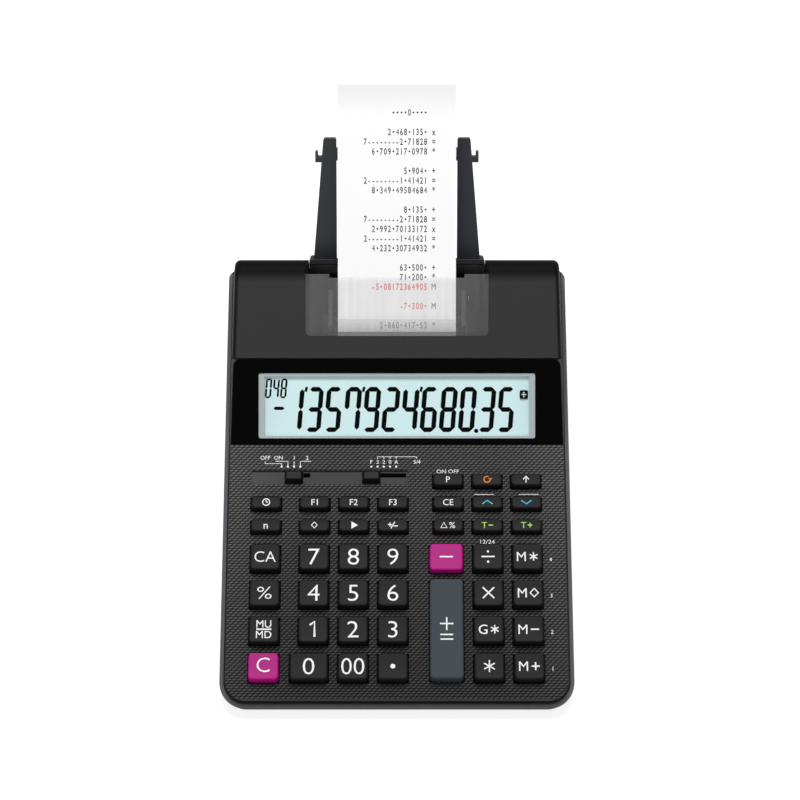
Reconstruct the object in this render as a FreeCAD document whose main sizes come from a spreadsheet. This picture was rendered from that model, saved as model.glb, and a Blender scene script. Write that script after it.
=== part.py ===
import FreeCAD, Part
import Sketcher
import os

# A printing desk calculator, in millimetres. X runs to the right, Y to the back and Z up.
# Every shape is laid out with Y = 0 at the front of the rim and Z = 0 on the desk,
# and is then moved back to front so that the origin is under the middle of the whole object.

doc = FreeCAD.newDocument("printing_calculator")
sheet = doc.addObject("Spreadsheet::Sheet", "sizes")

SIZES = {
    # Case
    "case_width": 165.0,
    "rim_overhang": 2.3,
    "rim_height": 3.5,
    "rim_drop": 2.2,
    "rim_bevel": 1.2,
    "groove_height": 0.8,
    "groove_depth": 1.2,
    "front_corner_radius": 12.5,
    "rear_corner_radius": 4.9,
    "wall": 2.2,
    "floor_thickness": 2.0,
    "rib_thickness": 3.0,
    # Top surface, from the front lip to the back
    "lip_height": 10.87,
    "deck_slope": 7.5,
    "deck_length": 126.7,
    "deck_thickness": 1.8,
    "deck_edge_radius": 0.7,
    "display_slope": 28.0,
    "display_length": 41.3,
    "facet_thickness": 3.6,
    "cover_slope": 30.0,
    "cover_length": 49.25,
    "cover_top_radius": 7.2,
    "cover_side_radius": 3.0,
    "cover_skirt": 9.0,
    "rear_lean": 17.0,
    "side_draft": 5.0,
    "bay_ledge": 2.0,
    # Gaps
    "running_clearance": 0.3,
    "seat_gap": 0.2,
    "pivot_clearance": 0.05,
    # Display
    "panel_thickness": 1.2,
    "panel_width": 159.2,
    "panel_corner_radius": 3.6,
    "lcd_frame_width": 132.5,
    "lcd_frame_height": 31.2,
    "lcd_frame_start": 3.1,
    "lcd_frame_thickness": 1.7,
    "lcd_frame_corner": 1.2,
    "lcd_recess": 0.5,
    "lcd_view_width": 126.8,
    "lcd_view_height": 28.6,
    "lcd_view_start": 4.25,
    "lcd_glass_thickness": 1.4,
    # Printer cover and paper
    "window_width": 87.8,
    "window_start": 10.85,
    "window_end": 40.5,
    "window_thickness": 1.6,
    "window_corner": 2.8,
    "window_ear": 11.5,
    "window_ear_rise": 1.8,
    "window_seat": 2.0,
    "notch_width": 85.0,
    "bar_top": 64.2,
    "strip_width": 56.6,
    "strip_thickness": 0.3,
    "strip_slope": 33.0,
    "strip_depth": 2.6,
    "strip_out": 90.55,
    "strip_in": 34.0,
    "roller_radius": 5.0,
    "roller_length": 48.0,
    "roller_place": 22.0,
    "axle_radius": 1.5,
    "frame_plate": 2.0,
    "frame_inside": 62.0,
    "frame_front": 6.0,
    "frame_back": 14.0,
    "frame_head": 4.0,
    # Paper-roll arms
    "arm_pivot_back": 4.8,
    "arm_pivot_height": 42.3,
    "arm_slope": 40.0,
    "arm_length": 61.7,
    "arm_inside": 58.8,
    "arm_base_width": 11.4,
    "arm_tip_width": 6.3,
    "arm_thickness": 6.5,
    "arm_tip_radius": 1.2,
    "tube_radius": 2.6,
    "arm_boss_radius": 4.0,
    "arm_boss_width": 13.2,
    "arm_boss_edge": 1.4,
    "hub_radius": 3.8,
    "hub_height": 0.6,
    "hub_place": 53.7,
    "hook_reach": 3.0,
    "hook_bar": 3.0,
    "hook_lip": 1.3,
    "hook_rise": 2.4,
    "clip_place": 20.0,
    "clip_width": 5.0,
    "clip_radius": 4.4,
    # Keys
    "key_width": 14.5,
    "key_depth": 13.4,
    "key_height": 4.8,
    "small_key_width": 14.7,
    "small_key_depth": 6.6,
    "small_key_height": 4.2,
    "zero_key_width": 18.3,
    "wide_key_width": 16.1,
    "minus_key_depth": 13.6,
    "tall_key_depth": 48.9,
    "key_draft": 2.8,
    "key_corner": 2.0,
    "key_edge": 1.0,
    "key_dish": 0.35,
    "key_flange": 0.8,
    "key_flange_lip": 0.9,
    "dome_height": 3.2,
    "dome_radius": 3.2,
    "dome_draft": 12.0,
    "mat_thickness": 0.8,
    "board_thickness": 1.2,
    "board_margin": 4.5,
    # Key grid: columns from the middle, rows from the front lip to the front of each key
    "column_clear": -61.95,
    "column_seven": -39.0,
    "column_zero": -40.9,
    "column_eight": -20.45,
    "column_nine": -1.9,
    "column_plus": 23.2,
    "column_correct": 24.3,
    "column_times": 42.83,
    "column_memory": 61.35,
    "first_row": 9.12,
    "row_pitch": 17.75,
    "first_small_row": 81.56,
    "small_row_pitch": 11.45,
    "minus_row": 62.2,
    "tall_row": 9.55,
    # Slide switches
    "recess_left": -69.4,
    "recess_right": 5.2,
    "recess_start": 106.6,
    "recess_width": 7.1,
    "recess_depth": 0.6,
    "knob_length": 8.9,
    "knob_width": 5.6,
    "knob_draft": 12.0,
    "knob_height": 4.0,
    "knob_forward": 1.4,
    "knob_edge": 0.5,
    "knob_flange": 1.0,
    "knob_flange_lip": 1.0,
    "slot_place": 4.75,
    "stem_width": 1.6,
    "stem_length": 2.6,
    "detent_pitch": 2.97,
    "mode_place": -49.1,
    "mode_steps_left": 2.0,
    "mode_steps_right": 1.0,
    "decimal_place": -12.2,
    "decimal_steps_right": 4.0,
    # Underside
    "foot_height": 1.5,
    "foot_radius": 5.0,
    "foot_inset_side": 8.5,
    "foot_inset_front": 18.0,
    "foot_inset_back": 20.0,
    "lid_left": 35.5,
    "lid_right": 67.5,
    "lid_length": 58.0,
    "lid_height": 18.0,
    "lid_wall": 1.8,
    "room_wall": 1.6,
    "room_height": 18.5,
}

for line, (alias, number) in enumerate(SIZES.items(), start=1):
    sheet.set(f"A{line}", alias.replace("_", " "))
    sheet.set(f"B{line}", str(number))
    sheet.setAlias(f"B{line}", alias)
doc.recompute()


class Names:
    """Gives each size as the text that an expression uses, such as sizes.wall."""

    def __getattr__(self, alias):
        if alias not in SIZES:
            raise AttributeError(alias)
        return f"sizes.{alias}"


size = Names()
probe = doc.addObject("App::FeaturePython", "probe")


def value(expression):
    """The number that an expression gives with the sheet as it is."""
    number = probe.evalExpression(str(expression))
    return float(getattr(number, "Value", number))


# Places in the side view, as expressions of the sizes: the top surface from front to back

upper_width = f"({size.case_width} - 2 * {size.rim_overhang})"
lip_y = size.rim_overhang
lip_z = size.lip_height
deck_end_y = f"({lip_y} + {size.deck_length} * cos({size.deck_slope}))"
deck_end_z = f"({lip_z} + {size.deck_length} * sin({size.deck_slope}))"
display_end_y = f"({deck_end_y} + {size.display_length} * cos({size.display_slope}))"
display_end_z = f"({deck_end_z} + {size.display_length} * sin({size.display_slope}))"
panel_sink_y = f"({size.panel_thickness} * sin({size.display_slope}))"
panel_sink_z = f"({size.panel_thickness} * cos({size.display_slope}))"
bay_y = f"({display_end_y} + {panel_sink_y})"
part_z = f"({display_end_z} - {size.cover_skirt})"
back_y = f"({display_end_y} + {size.cover_length} * cos({size.cover_slope}))"
back_z = f"({display_end_z} + {size.cover_length} * sin({size.cover_slope}))"


def deck_line(y, below="0"):
    """Height of the plane that lies a distance below the deck, at a place y."""
    return f"({lip_z} + ({y} - {lip_y}) * tan({size.deck_slope}) - ({below}) / cos({size.deck_slope}))"


def facet_line(y, below="0"):
    """Height of the plane that lies a distance below the display's surface."""
    rise = f"({y} - {deck_end_y}) * tan({size.display_slope})"
    return f"({deck_end_z} + {rise} - ({below}) / cos({size.display_slope}))"


def cover_line(y, below="0"):
    """Height of the plane that lies a distance below the cover's face."""
    rise = f"({y} - {display_end_y}) * tan({size.cover_slope})"
    return f"({display_end_z} + {rise} - ({below}) / cos({size.cover_slope}))"


def part_line(y, above="0"):
    """Height of the parting plane between upper case and printer cover."""
    return f"({part_z} + ({y} - {bay_y}) * tan({size.deck_slope}) + ({above}))"


def rear_y(z, inside="0"):
    """Place of the leaning rear face at a height z, or of a plane inside it."""
    return f"({back_y} + ({back_z} - ({z})) * tan({size.rear_lean}) - ({inside}) / cos({size.rear_lean}))"


def rear_on_slope(start_z, start_y, inside="0"):
    """Place where the rear face meets a line that rises at the deck's slope."""
    reach = f"({back_y} - ({inside}) / cos({size.rear_lean}))"
    drop = f"({back_z} - {start_z} + {start_y} * tan({size.deck_slope}))"
    slopes = f"(1 + tan({size.deck_slope}) * tan({size.rear_lean}))"
    return f"(({reach} + {drop} * tan({size.rear_lean})) / {slopes})"


upper_bottom = f"({size.rim_drop} - {size.groove_height})"
upper_rear_y = rear_on_slope(deck_line("0", upper_bottom), "0")
rim_rear_y = rear_on_slope(deck_line("0", size.rim_drop), "0")
case_depth = f"({rim_rear_y} + {size.rim_overhang} * cos({size.deck_slope}))"
floor_top = f"({size.foot_height} + {size.floor_thickness})"

# Paper line: it runs below the cover's face at the window's tear edge
edge_y = f"({display_end_y} + {size.window_end} * cos({size.cover_slope}))"
edge_z = f"({display_end_z} + {size.window_end} * sin({size.cover_slope}))"
tear_y = f"({edge_y} + {size.strip_depth} * sin({size.cover_slope}))"
tear_z = f"({edge_z} - {size.strip_depth} * cos({size.cover_slope}))"
strip_end_y = f"({tear_y} + {size.strip_out} * cos({size.strip_slope}))"
rim_front_y = f"({lip_y} - {size.rim_overhang} * cos({size.deck_slope}))"
front_y = f"({rim_front_y} + {size.rim_drop} * sin({size.deck_slope}))"
end_y = f"({strip_end_y} + {size.strip_thickness} / 2 * sin({size.strip_slope}))"
origin_y = f"(({front_y} + {end_y}) / 2)"
pivot_y = f"({rear_y(size.arm_pivot_height)} + {size.arm_pivot_back})"

LENGTHWISE = FreeCAD.Vector(1, 0, 0)


def new_body(label):
    """An empty body whose own frame is the case frame, moved so that the origin is in the middle."""
    body = doc.addObject("PartDesign::Body", label)
    body.Label = label
    body.setExpression("Placement.Base.y", f"-{origin_y}")
    return body


def tilted_body(label, x, y, z, slope):
    """An empty body whose own Z stands square on a sloping plane, with its origin at a point of it."""
    body = doc.addObject("PartDesign::Body", label)
    body.Label = label
    body.Placement = FreeCAD.Placement(FreeCAD.Vector(), FreeCAD.Rotation(LENGTHWISE, 1.0))
    body.setExpression("Placement.Base.x", x)
    body.setExpression("Placement.Base.y", f"{y} - {origin_y}")
    body.setExpression("Placement.Base.z", z)
    body.setExpression("Placement.Rotation.Angle", slope)
    return body


def on_deck(label, x="0", along="0"):
    """A body on the key deck, a distance up the slope from the front lip."""
    y = f"({lip_y} + ({along}) * cos({size.deck_slope}))"
    z = f"({lip_z} + ({along}) * sin({size.deck_slope}))"
    return tilted_body(label, x, y, z, size.deck_slope)


def plane_of(body, role):
    """One of the body's own origin planes."""
    return next(item for item in body.Origin.OriginFeatures if item.Role == role)


def new_sketch(body, name, role="XY_Plane", height="0"):
    """A sketch on one of the body's origin planes, lifted along the plane's normal."""
    sketch = body.newObject("Sketcher::SketchObject", f"{body.Label}_{name}")
    sketch.AttachmentSupport = [(plane_of(body, role), "")]
    sketch.MapMode = "FlatFace"
    sketch.setExpression("AttachmentOffset.Base.z", height)
    return sketch


def outline(sketch, points):
    """A closed outline of straight lines whose corners lie at the given expressions."""
    path(sketch, points, {})


def circle(sketch, x, y, radius):
    """A circle whose centre and radius are expressions."""
    centre = FreeCAD.Vector(value(x), value(y), 0)
    number = sketch.addGeometry(Part.Circle(centre, FreeCAD.Vector(0, 0, 1), value(radius)), False)
    for kind, place, expression in (("DistanceX", centre.x, x), ("DistanceY", centre.y, y)):
        index = sketch.addConstraint(Sketcher.Constraint(kind, number, 3, place))
        sketch.setExpression(f"Constraints[{index}]", str(expression))
    index = sketch.addConstraint(Sketcher.Constraint("Radius", number, value(radius)))
    sketch.setExpression(f"Constraints[{index}]", str(radius))


def rectangle(sketch, x0, y0, x1, y1):
    """An outline with four square corners."""
    outline(sketch, [(x0, y0), (x1, y0), (x1, y1), (x0, y1)])


def rounded_rectangle(sketch, half, y0, y1, front, rear=None):
    """A rectangle centred on X with rounded front corners; rear corners are round where a radius is given."""
    shift = rear or "0"
    points = [
        (f"-{half} + {front}", y0), (f"{half} - {front}", y0),
        (half, f"{y0} + {front}"), (half, f"{y1} - {shift}"),
        (f"{half} - {shift}", y1), (f"-{half} + {shift}", y1),
        (f"-{half}", f"{y1} - {shift}"), (f"-{half}", f"{y0} + {front}"),
    ]
    rounds = {1: (f"{half} - {front}", f"{y0} + {front}"), 7: (f"-{half} + {front}", f"{y0} + {front}")}
    if rear:
        rounds[3] = (f"{half} - {rear}", f"{y1} - {rear}")
        rounds[5] = (f"-{half} + {rear}", f"{y1} - {rear}")
    else:
        points = points[:3] + [(half, y1), (f"-{half}", y1)] + points[7:]
        rounds = {1: rounds[1], 5: rounds[7]}
    path(sketch, points, rounds)


def path(sketch, points, rounds):
    """A closed outline of straight lines, with a quarter circle after each corner that has a centre given."""
    places = [FreeCAD.Vector(value(x), value(y), 0) for x, y in points]
    first = sketch.GeometryCount
    count = len(places)
    pieces = []
    for i in range(count):
        start = places[i]
        end = places[(i + 1) % count]
        if i in rounds:
            centre = FreeCAD.Vector(value(rounds[i][0]), value(rounds[i][1]), 0)
            bulge = (start + end) * 0.5 - centre
            middle = centre + bulge.normalize() * (start - centre).Length
            pieces.append(Part.Arc(start, middle, end))
        else:
            pieces.append(Part.LineSegment(start, end))
    sketch.addGeometry(pieces, False)
    for i in range(count):
        following = first + (i + 1) % count
        sketch.addConstraint(Sketcher.Constraint("Coincident", first + i, 2, following, 1))
    for i, (x, y) in enumerate(points):
        for kind, place, expression in (("DistanceX", places[i].x, x), ("DistanceY", places[i].y, y)):
            index = sketch.addConstraint(Sketcher.Constraint(kind, first + i, 1, place))
            sketch.setExpression(f"Constraints[{index}]", str(expression))
    for i, (x, y) in rounds.items():
        index = sketch.addConstraint(Sketcher.Constraint("DistanceX", first + i, 3, value(x)))
        sketch.setExpression(f"Constraints[{index}]", str(x))


def centred_rectangle(sketch, width, depth, y0="0"):
    """A rectangle that is centred on X and starts at y0."""
    rectangle(sketch, f"-({width}) / 2", y0, f"({width}) / 2", f"({y0}) + ({depth})")


def extrude(body, kind, sketch, length, side="One side", back=False, draft=None):
    """A pad or a pocket of a sketch, with its length bound to an expression."""
    feature = body.newObject(f"PartDesign::{kind}", f"{sketch.Name}_{kind.lower()}")
    feature.Profile = sketch
    feature.SideType = side
    feature.Reversed = back
    feature.setExpression("Length", length)
    if draft:
        feature.setExpression("TaperAngle", draft)
    sketch.Visibility = False
    doc.recompute()
    return feature


def pad(body, sketch, length, **options):
    """Adds material from a sketch."""
    return extrude(body, "Pad", sketch, length, **options)


def pocket(body, sketch, length, **options):
    """Takes material away, and stops the build where the cut meets nothing."""
    before = body.Shape.Volume
    feature = extrude(body, "Pocket", sketch, length, **options)
    if body.Shape.Volume >= before:
        raise RuntimeError(f"{feature.Name} cuts nothing")
    return feature


def edges_where(body, test):
    """Names of the edges of the body's last feature whose ends and middle pass a test."""
    names = []
    for number, edge in enumerate(body.Tip.Shape.Edges, start=1):
        middle = edge.valueAt((edge.FirstParameter + edge.LastParameter) / 2)
        ends = [vertex.Point for vertex in edge.Vertexes]
        if test(middle, ends, edge):
            names.append(f"Edge{number}")
    return names


def soften(body, kind, property_name, amount, test):
    """A fillet or chamfer on the edges that pass a test."""
    names = edges_where(body, test)
    if not names:
        raise RuntimeError(f"{body.Label} has no edge to soften with {amount}")
    base = body.Tip
    feature = body.newObject(f"PartDesign::{kind}", f"{body.Label}_{kind.lower()}{len(body.Group)}")
    feature.Base = (base, names)
    feature.setExpression(property_name, amount)
    doc.recompute()
    return feature


def fillet(body, radius, test):
    """Rounds the edges that pass a test."""
    return soften(body, "Fillet", "Radius", radius, test)


def chamfer(body, amount, test):
    """Bevels the edges that pass a test."""
    return soften(body, "Chamfer", "Size", amount, test)


NEAR = 0.02


def runs_along(edge, axis):
    """Whether an edge is straight and lies along a direction."""
    if edge.Curve.TypeId != "Part::GeomLine":
        return False
    return abs(abs(edge.tangentAt(edge.FirstParameter).dot(axis)) - 1) < 1e-4


# Key grid: the place and size of every key, row by row from the front


def row_front(row):
    """Distance from the front lip to the front of a row of large keys."""
    return f"({size.first_row} + {row} * {size.row_pitch})"


def small_row_front(row):
    """Distance from the front lip to the front of a row of small keys."""
    return f"({size.first_small_row} + {row} * {size.small_row_pitch})"


COLUMNS = {
    "clear": size.column_clear,
    "seven": size.column_seven,
    "eight": size.column_eight,
    "nine": size.column_nine,
    "correct": size.column_correct,
    "times": size.column_times,
    "memory": size.column_memory,
}
LARGE_ROWS = (
    {"clear": "clear", "eight": "double_zero", "nine": "point", "times": "total", "memory": "memory_plus"},
    {"clear": "mark_up", "seven": "one", "eight": "two", "nine": "three", "times": "grand_total",
     "memory": "memory_minus"},
    {"clear": "percent", "seven": "four", "eight": "five", "nine": "six", "times": "times",
     "memory": "memory_subtotal"},
    {"clear": "clear_all", "seven": "seven", "eight": "eight", "nine": "nine", "times": "divide",
     "memory": "memory_total"},
)
SMALL_ROWS = (
    {"clear": "item_count", "seven": "subtotal", "eight": "backspace", "nine": "sign_change",
     "correct": "percent_change", "times": "tax_minus", "memory": "tax_plus"},
    {"clear": "time", "seven": "cost", "eight": "sell", "nine": "margin", "correct": "correct",
     "times": "check_up", "memory": "check_down"},
    {"correct": "print_mode", "times": "reprint", "memory": "paper_feed"},
)


def key_entry(name, row, x, front, width, depth, height):
    """What one key and its hole in the deck are made from."""
    return {"name": f"key_{name}", "row": row, "x": x, "front": front, "width": width, "depth": depth,
            "height": height}


def list_keys():
    """All the keys, row by row from the front."""
    keys = []
    large = (size.key_width, size.key_depth, size.key_height)
    small = (size.small_key_width, size.small_key_depth, size.small_key_height)
    for row, names in enumerate(LARGE_ROWS):
        for column, name in names.items():
            keys.append(key_entry(name, f"large_{row}", COLUMNS[column], row_front(row), *large))
    zero = (size.zero_key_width, size.key_depth, size.key_height)
    keys.append(key_entry("zero", "large_0", size.column_zero, row_front(0), *zero))
    minus = (size.wide_key_width, size.minus_key_depth, size.key_height)
    keys.append(key_entry("minus", "large_3", size.column_plus, size.minus_row, *minus))
    tall = (size.wide_key_width, size.tall_key_depth, size.key_height)
    keys.append(key_entry("plus_equals", "tall", size.column_plus, size.tall_row, *tall))
    for row, names in enumerate(SMALL_ROWS):
        for column, name in names.items():
            keys.append(key_entry(name, f"small_{row}", COLUMNS[column], small_row_front(row), *small))
    return keys


KEYS = list_keys()

# Radii and levels that several pieces share; levels are distances square below the deck

rear_along = f"(({rim_rear_y} - {lip_y} - {size.rim_drop} * sin({size.deck_slope})) / cos({size.deck_slope}))"
tray_front_radius = f"({size.front_corner_radius} - {size.rim_overhang})"
tray_rear_radius = f"({size.rear_corner_radius} - {size.rim_overhang})"
inner_front_radius = f"({tray_front_radius} - {size.wall})"
inner_width = f"({upper_width} - 2 * {size.wall})"
UP = FreeCAD.Vector(0, 0, 1)
key_seat = f"({size.deck_thickness} + {size.seat_gap})"
mat_top = f"({key_seat} + {size.key_flange} + {size.seat_gap} + {size.dome_height})"
board_top = f"({mat_top} + {size.mat_thickness})"
board_bottom = f"({board_top} + {size.board_thickness})"
board_front = f"({size.first_row} - 2 * {size.key_flange_lip})"
board_back = f"({size.recess_start} + {size.recess_width} + 2 * {size.key_flange_lip})"
board_half = f"({size.column_memory} + {size.key_width} / 2 + {size.board_margin})"
lid_front_y = f"({rim_rear_y} - {size.lid_length})"
display_rise = f"({size.display_length} * sin({size.display_slope} - {size.deck_slope}))"
cover_rise = f"({display_rise} + {size.cover_length} * sin({size.cover_slope} - {size.deck_slope}))"
display_lean = f"({display_rise} * tan({size.side_draft}))"
cover_lean = f"({cover_rise} * tan({size.side_draft}))"


# Lower case: a tray with an overhanging rim, whose top is parallel to the key deck


def upright_at(width, y):
    """A test for the upright corner edges at one end of a box of a given width."""
    half = value(width) / 2
    place = value(y)

    def test(middle, ends, edge):
        return runs_along(edge, UP) and abs(abs(middle.x) - half) < NEAR and abs(middle.y - place) < NEAR

    return test


def tilted_sketch(body, name, y, z, slope):
    """A sketch on a sloping plane that passes through a point of the side view."""
    sketch = new_sketch(body, name)
    sketch.AttachmentOffset = FreeCAD.Placement(FreeCAD.Vector(), FreeCAD.Rotation(LENGTHWISE, 1.0))
    sketch.setExpression("AttachmentOffset.Base.y", y)
    sketch.setExpression("AttachmentOffset.Base.z", z)
    sketch.setExpression("AttachmentOffset.Rotation.Angle", slope)
    return sketch


def deck_sketch(body, name, below="0"):
    """A sketch parallel to the key deck, with its origin square below the front lip."""
    y = f"({lip_y} + ({below}) * sin({size.deck_slope}))"
    z = f"({lip_z} - ({below}) * cos({size.deck_slope}))"
    return tilted_sketch(body, name, y, z, size.deck_slope)


def make_lower_case():
    body = new_body("lower_case")
    rim_bottom = f"({size.rim_drop} + {size.rim_height})"
    rim = deck_sketch(body, "rim", rim_bottom)
    rounded_rectangle(
        rim,
        f"({size.case_width} / 2)",
        f"(-{size.rim_overhang})",
        f"({rear_along} + {size.rim_overhang})",
        size.front_corner_radius,
        size.rear_corner_radius,
    )
    pad(body, rim, size.rim_height)
    lowest = value(rim_bottom)

    def under_rim(middle, ends, edge):
        return abs(middle.z - value(deck_line(str(middle.y), str(lowest)))) < NEAR

    chamfer(body, size.rim_bevel, under_rim)
    tray = new_sketch(body, "tray", height=size.foot_height)
    half = f"({upper_width} / 2)"
    rounded_rectangle(tray, half, lip_y, rim_rear_y, tray_front_radius, tray_rear_radius)
    pad(body, tray, back_z)
    above = new_sketch(body, "above", "YZ_Plane")
    high = f"({size.foot_height} + {back_z})"
    outline(above, [
        (f"-{case_depth}", deck_line(f"-{case_depth}", size.rim_drop)),
        (f"2 * {case_depth}", deck_line(f"2 * {case_depth}", size.rim_drop)),
        (f"2 * {case_depth}", f"2 * {high}"),
        (f"-{case_depth}", f"2 * {high}"),
    ])
    pocket(body, above, f"2 * {size.case_width}", side="Symmetric")
    inside = new_sketch(body, "inside", height=floor_top)
    inside_front = f"({lip_y} + {size.wall})"
    inside_back = f"({rim_rear_y} - {size.wall})"
    rounded_rectangle(inside, f"({inner_width} / 2)", inside_front, inside_back, inner_front_radius)
    pocket(body, inside, back_z, back=True)
    rib = new_sketch(body, "rib", "YZ_Plane")
    rib_front = f"({lip_y} + {size.front_corner_radius})"
    rib_back = f"({lip_y} + {board_back} * cos({size.deck_slope}))"
    outline(rib, [
        (rib_front, floor_top),
        (rib_back, floor_top),
        (rib_back, deck_line(rib_back, board_bottom)),
        (rib_front, deck_line(rib_front, board_bottom)),
    ])
    pad(body, rib, size.rib_thickness, side="Symmetric")
    walls = new_sketch(body, "room_walls", height=floor_top)
    left = f"({size.lid_left} - {size.room_wall})"
    right = f"({size.lid_right} + {size.room_wall})"
    outline(walls, [
        (left, inside_back),
        (left, f"{lid_front_y} - {size.room_wall}"),
        (right, f"{lid_front_y} - {size.room_wall}"),
        (right, inside_back),
        (size.lid_right, inside_back),
        (size.lid_right, lid_front_y),
        (size.lid_left, lid_front_y),
        (size.lid_left, inside_back),
    ])
    pad(body, walls, size.room_height)
    room = new_sketch(body, "battery_room")
    rectangle(room, size.lid_left, lid_front_y, size.lid_right, case_depth)
    pocket(body, room, f"{size.foot_height} + {size.lid_height}", back=True)
    return body


def make_battery_lid():
    body = new_body("battery_lid")
    gap = size.running_clearance
    side = new_sketch(body, "side", "YZ_Plane", f"{size.lid_left} + {gap}")
    front = f"({lid_front_y} + {gap})"
    step = f"({rim_rear_y} - {size.lid_wall})"
    top = f"({size.foot_height} + {size.lid_height} - {gap})"
    plate_top = f"({size.foot_height} + {size.lid_wall})"
    outline(side, [
        (front, size.foot_height),
        (rim_rear_y, size.foot_height),
        (rim_rear_y, top),
        (step, top),
        (step, plate_top),
        (front, plate_top),
    ])
    pad(body, side, f"{size.lid_right} - {size.lid_left} - 2 * {gap}")
    return body


def make_rubber_feet():
    feet = []
    across = f"({size.case_width} / 2 - {size.foot_inset_side})"
    rear = f"({case_depth} - {size.foot_inset_back})"
    for side_name, x in (("left", f"-{across}"), ("right", across)):
        for end_name, y in (("front", size.foot_inset_front), ("back", rear)):
            foot = doc.addObject("Part::Cylinder", f"foot_{side_name}_{end_name}")
            foot.setExpression("Radius", size.foot_radius)
            foot.setExpression("Height", size.foot_height)
            foot.setExpression("Placement.Base.x", x)
            foot.setExpression("Placement.Base.y", f"{y} - {origin_y}")
            feet.append(foot)
    group = doc.addObject("Part::Compound", "rubber_feet")
    group.Label = "rubber_feet"
    group.Links = feet
    return group


# Upper case: a shell with the key deck, the display seat, the printer bay and the clips for the arms


def add_slot(body, name, place, steps_left, steps_right):
    """The slot in the deck that a slide switch moves along."""
    sketch = deck_sketch(body, name)
    reach = f"({size.knob_length} / 2 + {size.running_clearance})"
    length = f"({size.stem_length} + 2 * {size.running_clearance})"
    middle = f"({size.recess_start} + {size.slot_place})"
    half = f"({size.stem_width} / 2 + {size.running_clearance})"
    rectangle(
        sketch,
        f"{place} - {steps_left} * {size.detent_pitch} + {reach} - {length}",
        f"{middle} - {half}",
        f"{place} + {steps_right} * {size.detent_pitch} + {reach}",
        f"{middle} + {half}",
    )
    pocket(body, sketch, f"2 * {size.deck_thickness}")


def add_clip(body, name, x):
    """A clip on the rear wall that the pivot tube of the arms turns in."""
    start = f"({x} - {size.clip_width} / 2)"
    height = size.arm_pivot_height
    web = new_sketch(body, f"{name}_web", "YZ_Plane", start)
    above = f"({height} + {size.clip_radius} * 0.8)"
    below = f"({height} - {size.clip_radius} * 0.8)"
    sunk = f"{size.wall} / 2"
    outline(web, [
        (rear_y(below, sunk), below),
        (pivot_y, below),
        (pivot_y, above),
        (rear_y(above, sunk), above),
    ])
    pad(body, web, size.clip_width)
    ring = new_sketch(body, f"{name}_ring", "YZ_Plane", start)
    circle(ring, pivot_y, height, size.clip_radius)
    pad(body, ring, size.clip_width)
    bore = new_sketch(body, f"{name}_bore", "YZ_Plane", start)
    circle(bore, pivot_y, height, f"{size.tube_radius} + {size.pivot_clearance}")
    pocket(body, bore, size.clip_width, back=True)


def lean_sides(body):
    """Cuts the sides so that they lean inwards from the level of the deck upwards."""
    sides = tilted_sketch(body, "sides", lip_y, lip_z, f"{size.deck_slope} + 90")
    foot = f"({upper_width} / 2)"
    high = f"(2 * {cover_rise})"
    head = f"({foot} - {high} * tan({size.side_draft}))"
    past = size.case_width
    outline(sides, [(foot, "0"), (past, "0"), (past, high), (head, high)])
    outline(sides, [(f"-{foot}", "0"), (f"-{head}", high), (f"-{past}", high), (f"-{past}", "0")])
    pocket(body, sides, f"2 * {case_depth}")


def on_side(point):
    """Whether a point lies on one of the sides, upright below the deck and leaning above it."""
    rise = (point.z - value(deck_line(str(point.y)))) * value(f"cos({size.deck_slope})")
    half = value(upper_width) / 2 - max(rise, 0) * value(f"tan({size.side_draft})")
    return abs(abs(point.x) - half) < NEAR


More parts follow.
